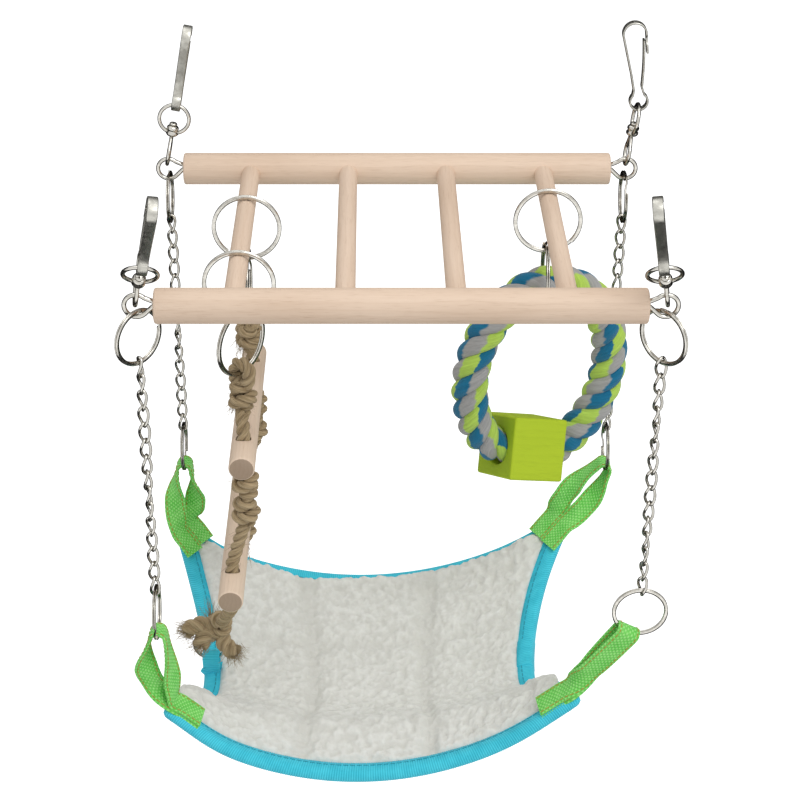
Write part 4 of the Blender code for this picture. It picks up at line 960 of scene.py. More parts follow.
# Hammock cloth: an off-white sherpa fleece, quilted in three panels, on a plain white knit backing.
# Both hang in a shallow hollow between the four corners; the fleece is fuller away from the seams.
CLOTH_WIDE = 0.180
CLOTH_FLARE = 0.0035
CLOTH_DEPTH = 0.140
CLOTH_MIDDLE = (-0.0125, -0.002)
LOOP_FRONT = 0.045
LOOP_REAR = 0.035
SAG_FRONT = 0.037
SAG_REAR = 0.032
SAG_MIDDLE = 0.011
SAG_SIDE = 0.033
SIDE_LEAN = 0.15
FOLD_AT = -0.60
FOLD_WIDE = 0.20
FOLD_RISE = 0.008
FOLD_EDGE = 0.012
FOLD_OUT = 0.7
PULL_IN_X = 0.012
PULL_IN_Y = 0.0015
EAR_PULL = {(-1, -1): 0.007, (1, -1): 0.009, (-1, 1): 0.006, (1, 1): 0.006}
EAR_WIDE = 0.018
CORNER_OUT = {(-1, -1): 0.0040, (1, -1): 0.0015, (-1, 1): 0.0060, (1, 1): 0.0050}
PILE_INSET = 0.0078
PILE_INSET_REAR = 0.0040
RAGGED = 0.0042
RAGGED_DEEP = 0.0022
BARE_AT = 0.36
BARE_WIDE = 0.16
BARE_DEEP = 0.0026
SPILL = 0.0074
SPILL_FROM = 0.0056
SPILL_RAMP = 0.0050
PRESSED_FROM = 0.008
PRESSED_RAMP = 0.010
PILE_SHOULDER = 0.0060
PILE_EDGE = 0.0020
PILE_FULL = 0.0052
SEAM_AT = 0.34
SEAM_WIDE = 0.045
SEAM_SHADE = 0.7
CROSS_SEAM_AT = 0.36
CROSS_SEAM = 0.5
SEAM_DEEP = 0.0026
CURL = 0.0032
CURL_RISE = 0.0014
BROAD_RISE = 0.0012
TAPE_HIGH = 0.0034
PILE_ACROSS = 241
PILE_DEEP = 189
PILE_FLOOR = 0.0002
PILE_CLEAR = 0.0003
PILE_LEAST = 0.0005
PILE_LEAST_RISE = 0.0016
CURL_AT_EDGE = 0.35
BROAD_SIZE = 4.0
BROAD_SHIFT = 0.31
PUFF_SHARES = (0.6, 0.4)
PUFF_FINER = 2.2
PUFF_SHIFT = (5.2, 1.3, 8.1)
FLEECE_SHADOW = (0.71, 0.71, 0.665, 1.0)
FLEECE_WHITE = (0.83, 0.835, 0.795, 1.0)
FLEECE_RELIEF = 0.0008
BACKING_INSET = 0.0028
BACKING_THICK = 0.0009
BACKING_TOP = -0.0001
BACKING_LOW = -0.0002
BACKING_ACROSS = 97
BACKING_DEEP = 77
RIPPLE = 0.0012
RIPPLE_SIZE = 0.021
RIPPLE_SHIFT = 0.77
RIPPLE_RAMP = 0.03
KNIT_SHADOW = (0.66, 0.66, 0.63, 1.0)
KNIT_WHITE = (0.80, 0.80, 0.77, 1.0)
KNIT_RELIEF = 0.0003

ring_low = place_of("hammock_hang")


def cloth_corner(side_x, side_y):
    """Where a corner of the cloth hangs on its loop, under the ring of that corner."""
    x = CLOTH_MIDDLE[0] + side_x * (CLOTH_WIDE / 2 + side_y * CLOTH_FLARE)
    y = CLOTH_MIDDLE[1] + side_y * CLOTH_DEPTH / 2
    reach = math.hypot(side_x * ring_low.x - x, -side_y * ring_low.y - y)
    loop = LOOP_FRONT if side_y < 0 else LOOP_REAR
    return np.array((x, y, ring_low.z - loop**2 / math.hypot(loop, reach)))


def cloth(u, v, lift=0.0):
    """The hanging cloth at u across and v to the rear, both from -1 to 1, lifted off its surface."""
    u = np.asarray(u, float)
    v = np.asarray(v, float)

    def at(u, v):
        right = ((u + 1) / 2)[..., None]
        rear = ((v + 1) / 2)[..., None]
        front_line = cloth_corner(-1, -1) * (1 - right) + cloth_corner(1, -1) * right
        rear_line = cloth_corner(-1, 1) * (1 - right) + cloth_corner(1, 1) * right
        x, y, z = np.moveaxis(front_line * (1 - rear) + rear_line * rear, -1, 0)
        z = z - (SAG_FRONT + (SAG_REAR - SAG_FRONT) * (v + 1) / 2) * (1 - u * u)
        z = z - SAG_MIDDLE * (1 - u * u) * (1 - v * v) - SAG_SIDE * (1 - v * v) * (1 - SIDE_LEAN * v) * u * u
        crest = np.exp(-(((v - FOLD_AT) / FOLD_WIDE) ** 2))
        z = z + (FOLD_RISE * (1 - u * u) + FOLD_EDGE * u * u) * crest
        x = x - PULL_IN_X * u * (1 - v * v) * (1 - FOLD_OUT * crest)
        y = y - PULL_IN_Y * v * (1 - u * u)
        for (side_x, side_y), out in CORNER_OUT.items():
            x = x + side_x * out * (1 + u * side_x) / 2 * np.maximum(v * side_y, 0.0) ** 2
        sheet = np.stack([x, y, z], axis=-1)
        for (side_x, side_y), pull in EAR_PULL.items():
            ring_at = np.array((side_x * ring_low.x, -side_y * ring_low.y, ring_low.z))
            aim = ring_at - cloth_corner(side_x, side_y)
            away = np.hypot((1 - u * side_x) * CLOTH_WIDE / 2, (1 - v * side_y) * CLOTH_DEPTH / 2)
            sheet = sheet + aim / np.linalg.norm(aim) * pull * np.exp(-((away / EAR_WIDE) ** 2))[..., None]
        return sheet

    here = at(u, v)
    small = 1e-4
    normal = np.cross(at(u + small, v) - at(u - small, v), at(u, v + small) - at(u, v - small))
    normal /= np.linalg.norm(normal, axis=-1, keepdims=True)
    return here + normal * np.asarray(lift, float)[..., None]


def grid_solid(top, bottom):
    """A closed slab between two grids of points."""
    rows, cols = top.shape[:2]
    points = np.vstack([top.reshape(-1, 3), bottom.reshape(-1, 3)])
    index = np.arange(rows * cols).reshape(rows, cols)
    upper = np.stack([index[:-1, :-1], index[1:, :-1], index[1:, 1:], index[:-1, 1:]], axis=-1).reshape(-1, 4)
    lower = upper[:, ::-1] + rows * cols
    rim = np.concatenate([index[:, 0], index[-1, 1:], index[::-1, -1][1:], index[0, ::-1][1:-1]])
    after = np.roll(rim, -1)
    wall = np.stack([after, rim, rim + rows * cols, after + rows * cols], axis=-1)
    return points, np.vstack([upper, lower, wall]).tolist()


def lumps(points, size):
    """Soft puffs of pile in two sizes, from 0 to 1."""
    values = np.empty(len(points))
    for number, point in enumerate(points):
        spot = Vector(point) / size
        finer = spot * PUFF_FINER + Vector(PUFF_SHIFT)
        values[number] = PUFF_SHARES[0] * noise.noise(spot) + PUFF_SHARES[1] * noise.noise(finer)
    return np.clip(0.5 + values, 0.0, 1.0)


def shoulder(inside, width):
    """How far the pile has risen at a distance inside its edge, from 0 to 1."""
    share = np.clip(inside / width, 0.0, 1.0)
    return np.sqrt(share * (2 - share))


def eased_share(share):
    """A share kept from 0 to 1, with a soft start and end."""
    share = np.clip(share, 0.0, 1.0)
    return share * share * (3 - 2 * share)


# The pile ends inside the tape, but spills over it along the rear and at both ends of the fold
over, along = np.meshgrid(np.linspace(-1, 1, PILE_ACROSS), np.linspace(0, 1, PILE_DEEP), indexing="ij")
rear_edge = np.stack([over[:, 0] * CLOTH_WIDE / 2, 0 * over[:, 0], 0 * over[:, 0]], axis=1)
ragged = lumps(rear_edge, RAGGED)[:, None]
inset_rear = PILE_INSET_REAR + RAGGED_DEEP * (ragged - 0.5)
inset_rear = inset_rear + BARE_DEEP * np.exp(-(((over + BARE_AT) / BARE_WIDE) ** 2))
vs = -1 + 2 * PILE_INSET / CLOTH_DEPTH
vs = vs + along * (1 - 2 * inset_rear / CLOTH_DEPTH - vs)
inset_side = PILE_INSET - SPILL * np.exp(-(((vs - FOLD_AT) / FOLD_WIDE) ** 4))
us = over * (1 - 2 * inset_side / CLOTH_WIDE)
to_side = (1 - np.abs(us)) * CLOTH_WIDE / 2
to_rear = (1 - vs) * CLOTH_DEPTH / 2
to_front = (1 + vs) * CLOTH_DEPTH / 2
plump = shoulder(np.minimum(to_side - inset_side, to_front - PILE_INSET), PILE_SHOULDER)
plump = plump * shoulder(to_rear - inset_rear, PILE_SHOULDER / 3)
loose = eased_share((np.hypot(to_side, to_rear) - PRESSED_FROM) / PRESSED_RAMP)
plump = plump * loose
seam = np.exp(-(((np.abs(us) - SEAM_AT) / SEAM_WIDE) ** 2))
seam = seam + CROSS_SEAM * np.exp(-(((vs - CROSS_SEAM_AT) / SEAM_WIDE) ** 2))
flat_points = cloth(us, vs).reshape(-1, 3)
curls = lumps(flat_points, CURL).reshape(us.shape)
broad = lumps(flat_points + BROAD_SHIFT, CURL * BROAD_SIZE).reshape(us.shape)
spilt_side = eased_share((PILE_INSET + SPILL_FROM - to_side) / SPILL_RAMP)
spilt_side = spilt_side * eased_share((PILE_INSET - inset_side) / SPILL_RAMP)
spilt_rear = eased_share((PILE_INSET + SPILL_FROM - to_rear) / SPILL_RAMP) * loose
under_pile = PILE_FLOOR + np.maximum(spilt_side, spilt_rear) * (TAPE_HIGH + PILE_CLEAR)
height = PILE_EDGE + (PILE_FULL - PILE_EDGE) * plump - SEAM_DEEP * seam * plump
uneven = CURL_RISE * (curls - 0.5) + BROAD_RISE * (broad - 0.5)
height = height + uneven * (CURL_AT_EDGE + (1 - CURL_AT_EDGE) * plump)
height = np.maximum(height, under_pile + PILE_LEAST + PILE_LEAST_RISE * plump + CURL_RISE * curls)
points, faces = grid_solid(cloth(us, vs, height), cloth(us, vs, under_pile))

fleece_white, tree, shader = material_of(
    "white_fleece", roughness=0.95, specular_ior_level=0.1, sheen_weight=0.3
)
# Painted shade: the fleece's colour darkens in the pits between its curls and along the quilting seams, read
# from a stored attribute.
pit_and_seam_shade = put(tree, "ShaderNodeAttribute", attribute_name="painted_pit_and_seam_shade").outputs["Fac"]
place = put(tree, "ShaderNodeTexCoord").outputs["Object"]
fluff = clouds(tree, place, 1500.0, 4.0, 0.65)
tuft = clouds(tree, place, 620.0, 3.0, 0.6)
pale = ramp(tree, mixture(tree, (pit_and_seam_shade, 0.75), (tuft, 0.40)), 0.25, 0.95)
tree.links.new(blend(tree, pale, FLEECE_SHADOW, FLEECE_WHITE), shader.inputs["Base Color"])
bumped(tree, shader, mixture(tree, (fluff, 0.6), (tuft, 1.0)), FLEECE_RELIEF, 0.6)

fleece = piece("sherpa_fleece", points, faces, fleece_white)
# Painted shade: the curls' heights, lowered along the quilting seams, are stored so that pits and seams come
# out darker in the fleece's colour.
shaded = curls * (1 - SEAM_SHADE * np.clip(seam, 0.0, 1.0))
record = np.concatenate([shaded.ravel(), np.full(shaded.size, 0.5)]).astype(np.float32)
fleece.data.attributes.new("painted_pit_and_seam_shade", "FLOAT", "POINT").data.foreach_set("value", record)
fix(fleece, "hammock", "hammock_fleece")

backing_u = 1 - 2 * BACKING_INSET / CLOTH_WIDE
backing_v = 1 - 2 * BACKING_INSET / CLOTH_DEPTH
us = np.linspace(-1, 1, BACKING_ACROSS) * backing_u
vs = np.linspace(-1, 1, BACKING_DEEP) * backing_v
us, vs = np.meshgrid(us, vs, indexing="ij")
ripple = lumps(cloth(us, vs).reshape(-1, 3) + RIPPLE_SHIFT, RIPPLE_SIZE).reshape(us.shape)
inside = np.minimum((backing_u - np.abs(us)) * CLOTH_WIDE, (backing_v - np.abs(vs)) * CLOTH_DEPTH)
inside = np.clip(inside / RIPPLE_RAMP, 0, 1)
under = BACKING_LOW - BACKING_THICK - RIPPLE * ripple * inside
points, faces = grid_solid(cloth(us, vs, BACKING_TOP + 0 * us), cloth(us, vs, under))
knit_white, tree, shader = material_of(
    "white_backing", roughness=0.9, specular_ior_level=0.15, sheen_weight=0.15
)
place = put(tree, "ShaderNodeTexCoord").outputs["Object"]
inputs = {"Vector": place, "Scale": 260.0, "Distortion": 1.2, "Detail": 1.0, "Detail Scale": 3.0}
loops = put(tree, "ShaderNodeTexWave", inputs)
inputs = {"Vector": place, "Scale": 200.0, "Distortion": 0.8}
rows = put(tree, "ShaderNodeTexWave", inputs, bands_direction="Y")
# Painted shade: the knit's colour darkens between its loops and rows, where its relief is low.
knit_relief_and_shade = sums(tree, "MULTIPLY", loops.outputs["Fac"], rows.outputs["Fac"])
tree.links.new(blend(tree, knit_relief_and_shade, KNIT_SHADOW, KNIT_WHITE), shader.inputs["Base Color"])
bumped(tree, shader, knit_relief_and_shade, KNIT_RELIEF, 0.6)
backing = piece("knit_backing", points, faces, knit_white, sharp=SHARP_RIM)
fix(backing, "hammock", "hammock_backing")

# Edge binding: a ribbed turquoise tape folded over the raw edges of both cloths and sewn through
# with one row of dark blue stitches. Its two ends lap on the right-hand edge.
TAPE_WIDTH = 0.0085
TAPE_LOW = 0.0029
RIB_PITCH = 0.0011
RIB_RISE = 0.00014
LAP_HALF = 0.009
LAP_RISE = 0.0007
LAP_AT = 0.52
LAP_STEP = 0.0006
TAPE_CORNER = 0.006
LEAST_CORNER = 0.0008
CORNER_STEPS = 24
EDGE_STEPS = (900, 690)
SHARP_TAPE = 75
TAPE_LIGHT = (0.11, 0.80, 0.97)
TAPE_SHADOW = (0.028, 0.48, 0.64)
TAPE_COURSE = 0.05
TAPE_RELIEF = 0.0003
BLUE_THREAD = (0.03, 0.42, 0.56)
THREAD_SHADE = 0.55
STITCH_IN = 0.0056
STITCH_PROUD = 0.0001
STITCH_SIDES = 8
# A stitch's pitch, length and thickness
TAPE_STITCH = (0.0030, 0.0023, 0.00045)
# The tape's section as insets and heights, from its inner top edge over the fold to its inner bottom
# edge, and then back along its inside
TAPE_OUTSIDE = (
    (TAPE_WIDTH, 0.0021),
    (TAPE_WIDTH - 0.0004, 0.0030),
    (TAPE_WIDTH * 0.66, TAPE_HIGH),
    (TAPE_WIDTH * 0.35, TAPE_HIGH * 0.97),
    (0.0013, TAPE_HIGH * 0.86),
    (0.0002, TAPE_HIGH * 0.45),
    (-0.0001, 0.0),
    (0.0003, -TAPE_LOW * 0.5),
    (0.0014, -TAPE_LOW * 0.88),
    (TAPE_WIDTH * 0.5, -TAPE_LOW),
    (TAPE_WIDTH - 0.0004, -TAPE_LOW * 0.9),
    (TAPE_WIDTH, -TAPE_LOW * 0.6),
)
TAPE_INSIDE = (
    (TAPE_WIDTH - 0.0006, -TAPE_LOW * 0.42),
    (0.0016, -0.0014),
    (0.0013, 0.0),
    (0.0016, 0.0016),
    (TAPE_WIDTH - 0.0006, 0.0018),
)

# Tape and webbing: ribs or a brick weave from a piece's lay, how far along it and how far round, with painted
# shade darkening the colour in the weave's grooves
SPECK_PACKING = (2600.0, 2600.0, 2600.0)
TONE_PACKING = (160.0, 160.0, 160.0)
TONE_SHADE = (-0.12, 0.12)
weave, given, result = effect(
    "woven_band",
    {"Lay": "Vector", "Pitch": "Float", "Course": "Float", "Light": "Color", "Deep": "Color"},
    {"Color": "Color", "Height": "Float"},
)
lay_of = put(weave, "ShaderNodeSeparateXYZ", {0: given["Lay"]}).outputs
course = sums(weave, "DIVIDE", lay_of[1], given["Course"])
shift = sums(weave, "MULTIPLY", sums(weave, "FLOOR", course), 0.5)
step_along = sums(weave, "ADD", sums(weave, "DIVIDE", lay_of[0], given["Pitch"]), shift)
swing = sums(weave, "COSINE", sums(weave, "MULTIPLY", step_along, 2 * math.pi))
crest = sums(weave, "ADD", sums(weave, "MULTIPLY", swing, 0.5), 0.5)
valley = sums(weave, "ABSOLUTE", sums(weave, "SINE", sums(weave, "MULTIPLY", course, math.pi)))
relief_and_groove_shade = sums(weave, "MULTIPLY", crest, sums(weave, "POWER", valley, 0.5))
speck = streaks(weave, given["Lay"], SPECK_PACKING)
broad_tone = streaks(weave, given["Lay"], TONE_PACKING)
# Painted shade: the colour follows the weave's relief, darker in its grooves and lighter on its ridges.
mixed = mixture(weave, (relief_and_groove_shade, 0.72), (speck, 0.30))
mixed = sums(weave, "ADD", mixed, ramp(weave, broad_tone, 0.3, 0.7, *TONE_SHADE))
weave.links.new(blend(weave, mixed, given["Deep"], given["Light"]), result["Color"])
weave.links.new(mixture(weave, (relief_and_groove_shade, 1.0), (speck, 0.25)), result["Height"])


def woven(name, light, deep, pitch, course, relief):
    """Woven band."""
    made, tree, shader = material_of(name, roughness=0.82, specular_ior_level=0.2, sheen_weight=0.12)
    inputs = {
        "Lay": put(tree, "ShaderNodeUVMap", uv_map="lay").outputs[0],
        "Pitch": pitch,
        "Course": course,
        "Light": (*light, 1.0),
        "Deep": (*deep, 1.0),
    }
    band = put(tree, "ShaderNodeGroup", node_tree=weave, inputs=inputs)
    tree.links.new(band.outputs["Color"], shader.inputs["Base Color"])
    bumped(tree, shader, band.outputs["Height"], relief, 0.7)
    return made


turquoise = woven("blue_tape", TAPE_LIGHT, TAPE_SHADOW, RIB_PITCH, TAPE_COURSE, TAPE_RELIEF)


def rounded_frame(inset):
    """The cloth's (u, v) round its edge at an inset, corners rounded, as dense as the ribs need."""
    wide = CLOTH_WIDE / 2 - inset
    deep = CLOTH_DEPTH / 2 - inset
    radius = max(TAPE_CORNER - inset, LEAST_CORNER)
    sides = ((1, 1), (-1, 1), (-1, -1), (1, -1))

    def on_corner(number, angle):
        side_x, side_y = sides[number % 4]
        x = side_x * (wide - radius) + radius * math.cos(angle)
        y = side_y * (deep - radius) + radius * math.sin(angle)
        return (x, y)

    places = []
    for number in range(4):
        for angle in np.linspace(0.0, math.pi / 2, CORNER_STEPS, endpoint=False):
            places.append(on_corner(number, angle + number * math.pi / 2))
        angle = (number + 1) * math.pi / 2
        ends = (on_corner(number, angle), on_corner(number + 1, angle))
        places += [tuple(row) for row in np.linspace(*ends, EDGE_STEPS[number % 2], endpoint=False)]
    return np.array(places) / (CLOTH_WIDE / 2, CLOTH_DEPTH / 2)


outer_line = cloth(*rounded_frame(0.0).T)
far = lengths(outer_line, True)
from_lap = np.abs(far[:-1] - far[-1] + CLOTH_DEPTH * LAP_AT)
lap = np.clip((LAP_HALF - from_lap) / LAP_STEP, 0.0, 1.0)
ribs = RIB_RISE * np.cos(2 * math.pi * far[:-1] / RIB_PITCH)
tape_section = TAPE_OUTSIDE + TAPE_INSIDE
rows = []
for number, (inset, lift) in enumerate(tape_section):
    swell = 0 * ribs
    if number < len(TAPE_OUTSIDE):
        swell = (ribs + LAP_RISE * lap) * (1 if lift >= 0 else -1)
    frame_uv = rounded_frame(max(inset, 0.0))
    rows.append(cloth(frame_uv[:, 0], frame_uv[:, 1], lift + swell))
rows = np.stack(rows, axis=1)
count, around = rows.shape[:2]
row = np.arange(count)[:, None]
col = np.arange(around)[None]
first = row * around
second = ((row + 1) % count) * around
after = (col + 1) % around
quads = np.stack([first + col, second + col, second + after, first + after], axis=-1).reshape(-1, 4)
far_round = lengths(np.array(tape_section), True)
us = np.stack([far[row + step] + 0 * col for step in (0, 1, 1, 0)], axis=-1)
vs = np.stack([far_round[col + step] + 0 * row for step in (0, 0, 1, 1)], axis=-1)
lay = np.stack([us, vs], axis=-1).reshape(-1, 2)
binding = piece("ribbed_binding", rows.reshape(-1, 3), quads.tolist(), turquoise, lay, sharp=SHARP_TAPE)
fix(binding, "hammock", "edge_binding")

stitch_inputs = {"Stitch": "Object", "Pitch": "Float", "Material": "Material"}
stitches, given, result = shape_group("stitches_on_a_line", stitch_inputs)
line_curve = put(stitches, "GeometryNodeMeshToCurve", {"Mesh": given["Geometry"]})
inputs = {"Curve": line_curve.outputs[0], "Length": given["Pitch"]}
spots = put(stitches, "GeometryNodeCurveToPoints", inputs, mode="LENGTH")
faced = put(stitches, "FunctionNodeAlignRotationToVector", {"Vector": spots.outputs["Tangent"]}, axis="Z")
repeated(stitches, given, result, "Stitch", spots.outputs["Points"], faced.outputs[0])


def thread(name, colour):
    """Sewing thread."""
    made, tree, shader = material_of(name, roughness=0.6, specular_ior_level=0.3)
    place = put(tree, "ShaderNodeTexCoord").outputs["Object"]
    ply = clouds(tree, place, 3000.0, 2.0)
    darker = tuple(channel * THREAD_SHADE for channel in colour)
    tree.links.new(blend(tree, ply, (*darker, 1.0), (*colour, 1.0)), shader.inputs["Base Color"])
    return made


def sewn(name, lines, stitch, material, body):
    """Rows of stitches along lines lying on a cloth."""
    pitch, length, thick = stitch
    half = length / 2 - thick / 2
    core = np.linspace((0, 0, -half), (0, 0, half), 3)
    capsule = sweep(core, round_section(thick, STITCH_SIDES), round_ends=True)
    pattern = piece("one_stitch", capsule[0], capsule[1], material)
    points = np.vstack(lines)
    starts = np.cumsum([0] + [len(line) for line in lines])
    edges = [(index, index + 1) for a, b in zip(starts, starts[1:]) for index in range(a, b - 1)]
    base = bpy.data.meshes.new("row")
    base.from_pydata(points.tolist(), edges, [])
    made = grown(name, base, stitches, {"Stitch": pattern, "Pitch": pitch, "Material": material})
    bpy.data.objects.remove(pattern)
    made.data.shade_smooth()
    fix(made, body)


blue_thread = thread("blue_thread", BLUE_THREAD)
stitch_u, stitch_v = rounded_frame(STITCH_IN).T
rows = []
for lift in (TAPE_HIGH + STITCH_PROUD, -TAPE_LOW - STITCH_PROUD):
    row = cloth(stitch_u, stitch_v, lift + 0 * stitch_u)
    rows.append(np.vstack([row[::4], row[:1]]))
sewn("binding_stitches", rows, TAPE_STITCH, blue_thread, "hammock")

# Corner loops: bright green webbing, doubled round a lower ring, both ends sewn down on the corner of
# the hammock. Each leg turns on its way from the ring's wire. Orange thread runs along the edges.
WEB_WIDTH = 0.0105
WEB_THICK = 0.0012
WEB_ROOM = 0.0014
FEET_FRONT = ((0.0122, 0.0048), (0.0084, 0.0046), (0.0048, 0.0042), (0.0018, 0.0030))
FOOT_TILT = (0.0, 0.0, 0.6)
FEET_REAR = ((0.0088, 0.0088), (0.0062, 0.0062), (0.0038, 0.0038))
TOP_LIFT = 0.0043
STACKED = TOP_LIFT + 0.0015
CROWN_DROP = 0.0010
LOOP_TURN = {"fl": 1, "fr": 0, "rl": -1, "rr": -1}
LEG_TWIST = ((0.85, 1.0), (0.68, 0.97), (0.51, 0.76), (0.34, 0.43), (0.17, 0.13))
FOOT_FROM = 0.8
WEB_STEP = 0.0005
WEB_SEAM = 0.38
WEB_PROUD = 0.0002
WEB_STITCH = (0.0026, 0.0019, 0.00038)
WEB_LIGHT = (0.42, 0.96, 0.28)
WEB_SHADOW = (0.10, 0.58, 0.060)
WEB_PITCH = 0.0019
WEB_COURSE = 0.0011
WEB_RELIEF = 0.0005
ORANGE_THREAD = (0.60, 0.38, 0.06)
# Where the cloth's slope beside a corner is taken, as shares of its half width and half depth
SLOPE_FRONT = (0.90, 0.85)
SLOPE_REAR = (0.86, 0.82)
# Each loop's inner and outer leg: its foot's place beside the corner's middle, its height above the
# cloth, how far the leg bellies out and how much of its face it turns to the front
LOOP_LEGS = {
    "fl": ((0.0, STACKED, 0.0004, 0.45), (0.0, TOP_LIFT, 0.0065, 1.0)),
    "fr": ((0.0, TOP_LIFT, 0.0012, 1.0), (0.0, STACKED, 0.0012, 1.0)),
    "rl": ((0.0048, TOP_LIFT, 0.0022, 1.0), (-0.0048, TOP_LIFT, 0.0022, 1.0)),
    "rr": ((0.0048, TOP_LIFT, 0.0025, 1.0), (-0.0048, TOP_LIFT, 0.0025, 1.0)),
}
radius_over = (SMALL_RING[1] + WEB_THICK) / 2 + WEB_ROOM + GAP

leaf_green = woven("green_webbing", WEB_LIGHT, WEB_SHADOW, WEB_PITCH, WEB_COURSE, WEB_RELIEF)
orange = thread("orange_thread", ORANGE_THREAD)


def curve_through(points, step):
    """A smooth line through points, sampled evenly."""
    points = np.asarray(points, float)
    ends = np.vstack([2 * points[0] - points[1], points, 2 * points[-1] - points[-2]])
    line = []
    for a, b, c, d in zip(ends, ends[1:], ends[2:], ends[3:]):
        for t in np.linspace(0.0, 1.0, 24, endpoint=False):
            here = 2 * b + (c - a) * t + (2 * a - 5 * b + 4 * c - d) * t * t
            line.append(0.5 * (here + (3 * b - a - 3 * c + d) * t**3))
    line.append(points[-1])
    line = np.array(line)
    far = lengths(line[:, :3])
    even = np.linspace(0.0, far[-1], max(2, int(far[-1] / step)))
    return np.stack([np.interp(even, far, line[:, axis]) for axis in range(line.shape[1])], axis=1)


def band_section(width, thick):
    """Webbing's section: flat with rounded edges."""
    half = thick / 2
    turns = np.linspace(-math.pi / 2, math.pi / 2, 6)
    edge = [(width / 2 - half + half * math.cos(a), half * math.sin(a)) for a in turns]
    top = [(x, half) for x in np.linspace(width / 2 - half, half - width / 2, 8)[1:-1]]
    return np.array(edge + top + [(-x, -y) for x, y in edge] + [(-x, -y) for x, y in top])


def unit(vector):
    """A direction."""
    return np.asarray(vector, float) / np.linalg.norm(vector)


def band(line, across, width, thick):
    """A band along a line with its width along a direction at each point."""
    return sweep(line, band_section(width, thick), side=across)


for corner, (side_x, side_y) in CORNERS.items():
    ring = hanging(place_of(f"lower_ring_sway_{corner}"), SMALL_RING)
    facing = np.array(turn("Z", LOWER_RING_YAW[corner]) @ Vector((0, 1, 0)))
    tip = cloth(side_x, side_y)
    reach = tip - np.array(ring)
    wire = np.array(ring) + unit(reach - facing * reach.dot(facing)) * ring_reach(SMALL_RING)
    down = unit(tip - wire)
    apart = unit(facing - down * facing.dot(down))
    apart = apart if apart.dot(cloth(0, 0) - tip) > 0 else -apart
    on_wire = np.cross(down, apart)
    shown = on_wire
    if LOOP_TURN[corner]:
        shown = np.array((math.copysign(1.0, on_wire[1]), 0.0, 0.0)) * LOOP_TURN[corner]
    if side_y < 0:
        u = side_x * SLOPE_FRONT[0]
        level = unit(cloth(u, side_y * SLOPE_FRONT[1]) - cloth(u, side_y))
        level = unit(level + FOOT_TILT)
    else:
        level = unit(cloth(side_x * SLOPE_REAR[0], side_y) - cloth(side_x, side_y * SLOPE_REAR[1]))
    level = level if level.dot(apart) > 0 else -level
    foot_way = level if level.dot(shown) > 0 else -level
    crown = wire + down * CROWN_DROP
    over = []
    for a in np.linspace(0, math.pi, 5):
        over.append((crown + radius_over * (math.cos(a) * apart - math.sin(a) * down), on_wire))
    legs = []
    for leg, (aside, lift, belly, turned) in zip((1, -1), LOOP_LEGS[corner]):
        sewn_down = []
        for in_x, in_y in FEET_FRONT if side_y < 0 else FEET_REAR:
            u = side_x * (1 - 2 * in_x / CLOTH_WIDE)
            v = side_y * (1 - 2 * in_y / CLOTH_DEPTH)
            sewn_down.append((cloth(u, v, lift) + level * aside, foot_way))
        start = crown + leg * radius_over * apart
        end = sewn_down[-1][0]
        free = []
        for share, twist in LEG_TWIST:
            bulge = leg * apart * belly * math.sin(math.pi * share)
            way = unit(on_wire * (1 - twist * turned) + shown * twist * turned)
            way = unit(way + foot_way) if share > FOOT_FROM else way
            free.append((start * (1 - share) + end * share + bulge, way))
        legs.append(sewn_down + free)
    path = legs[0] + over + legs[1][::-1]
    both = curve_through([np.concatenate(row) for row in path], WEB_STEP)
    line = both[:, :3]
    across = both[:, 3:6]
    points, faces, lay = band(line, across, WEB_WIDTH, WEB_THICK)
    loop = piece(f"webbing_{corner}", points, faces, leaf_green, lay, sharp=SHARP_RIM)
    fix(loop, "hammock", f"corner_loop_{corner}")
    along = headings(line)
    sideways = squared(across, along)
    up = np.cross(along, sideways)
    rows = []
    for edge in (-WEB_SEAM, WEB_SEAM):
        for face in (-0.5, 0.5):
            lifted = line + sideways * WEB_WIDTH * edge + up * (WEB_THICK + WEB_PROUD) * face
            rows.append(lifted[3:-3:3])
    sewn(f"webbing_stitches_{corner}", rows, WEB_STITCH, orange, "hammock")

# The side tab: a short length of the same turquoise tape, folded through the tie ring and caught
# in the binding of the left-hand edge.
TAB_WIDTH = 0.008
TAB_THICK = 0.0011
TAB_ROOM = 0.0014
TAB_WAIST = 0.92
TAB_DROP = 0.0045
# Where the rear and the front leg leave the hammock, from the tab's place in the binding
TAB_REAR = ((0.0045, 0.0018, 0.0030), (0.0012, 0.0018, 0.0036))
TAB_FRONT = ((-0.0012, -0.0018, 0.0036), (0.0025, -0.0018, 0.0032))

tie_ring = place_of("tie_ring_turn")
foot = cloth(-(1 - TAPE_WIDTH / CLOTH_WIDE), 0.0)
wire = np.array(tie_ring) - (0.0, 0.0, ring_reach(TIE_RING))
radius = (TIE_RING[1] + TAB_THICK) / 2 + TAB_ROOM + GAP
over = []
for a in np.linspace(0.0, math.pi, 11):
    over.append(wire + np.array((0, radius * math.cos(a), radius * math.sin(a))))
rear = [foot + np.array(offset) for offset in TAB_REAR]
rear.append(wire + np.array((0, radius * TAB_WAIST, -TAB_DROP)))
front = [wire + np.array((0, -radius * TAB_WAIST, -TAB_DROP))]
front += [foot + np.array(offset) for offset in TAB_FRONT]
line = curve_through(rear + over + front, WEB_STEP)
points, faces, lay = band(line, (1, 0, 0), TAB_WIDTH, TAB_THICK)
tab = piece("tape_tab", points, faces, turquoise, lay, sharp=SHARP_RIM)
fix(tab, "hammock", "side_tab")

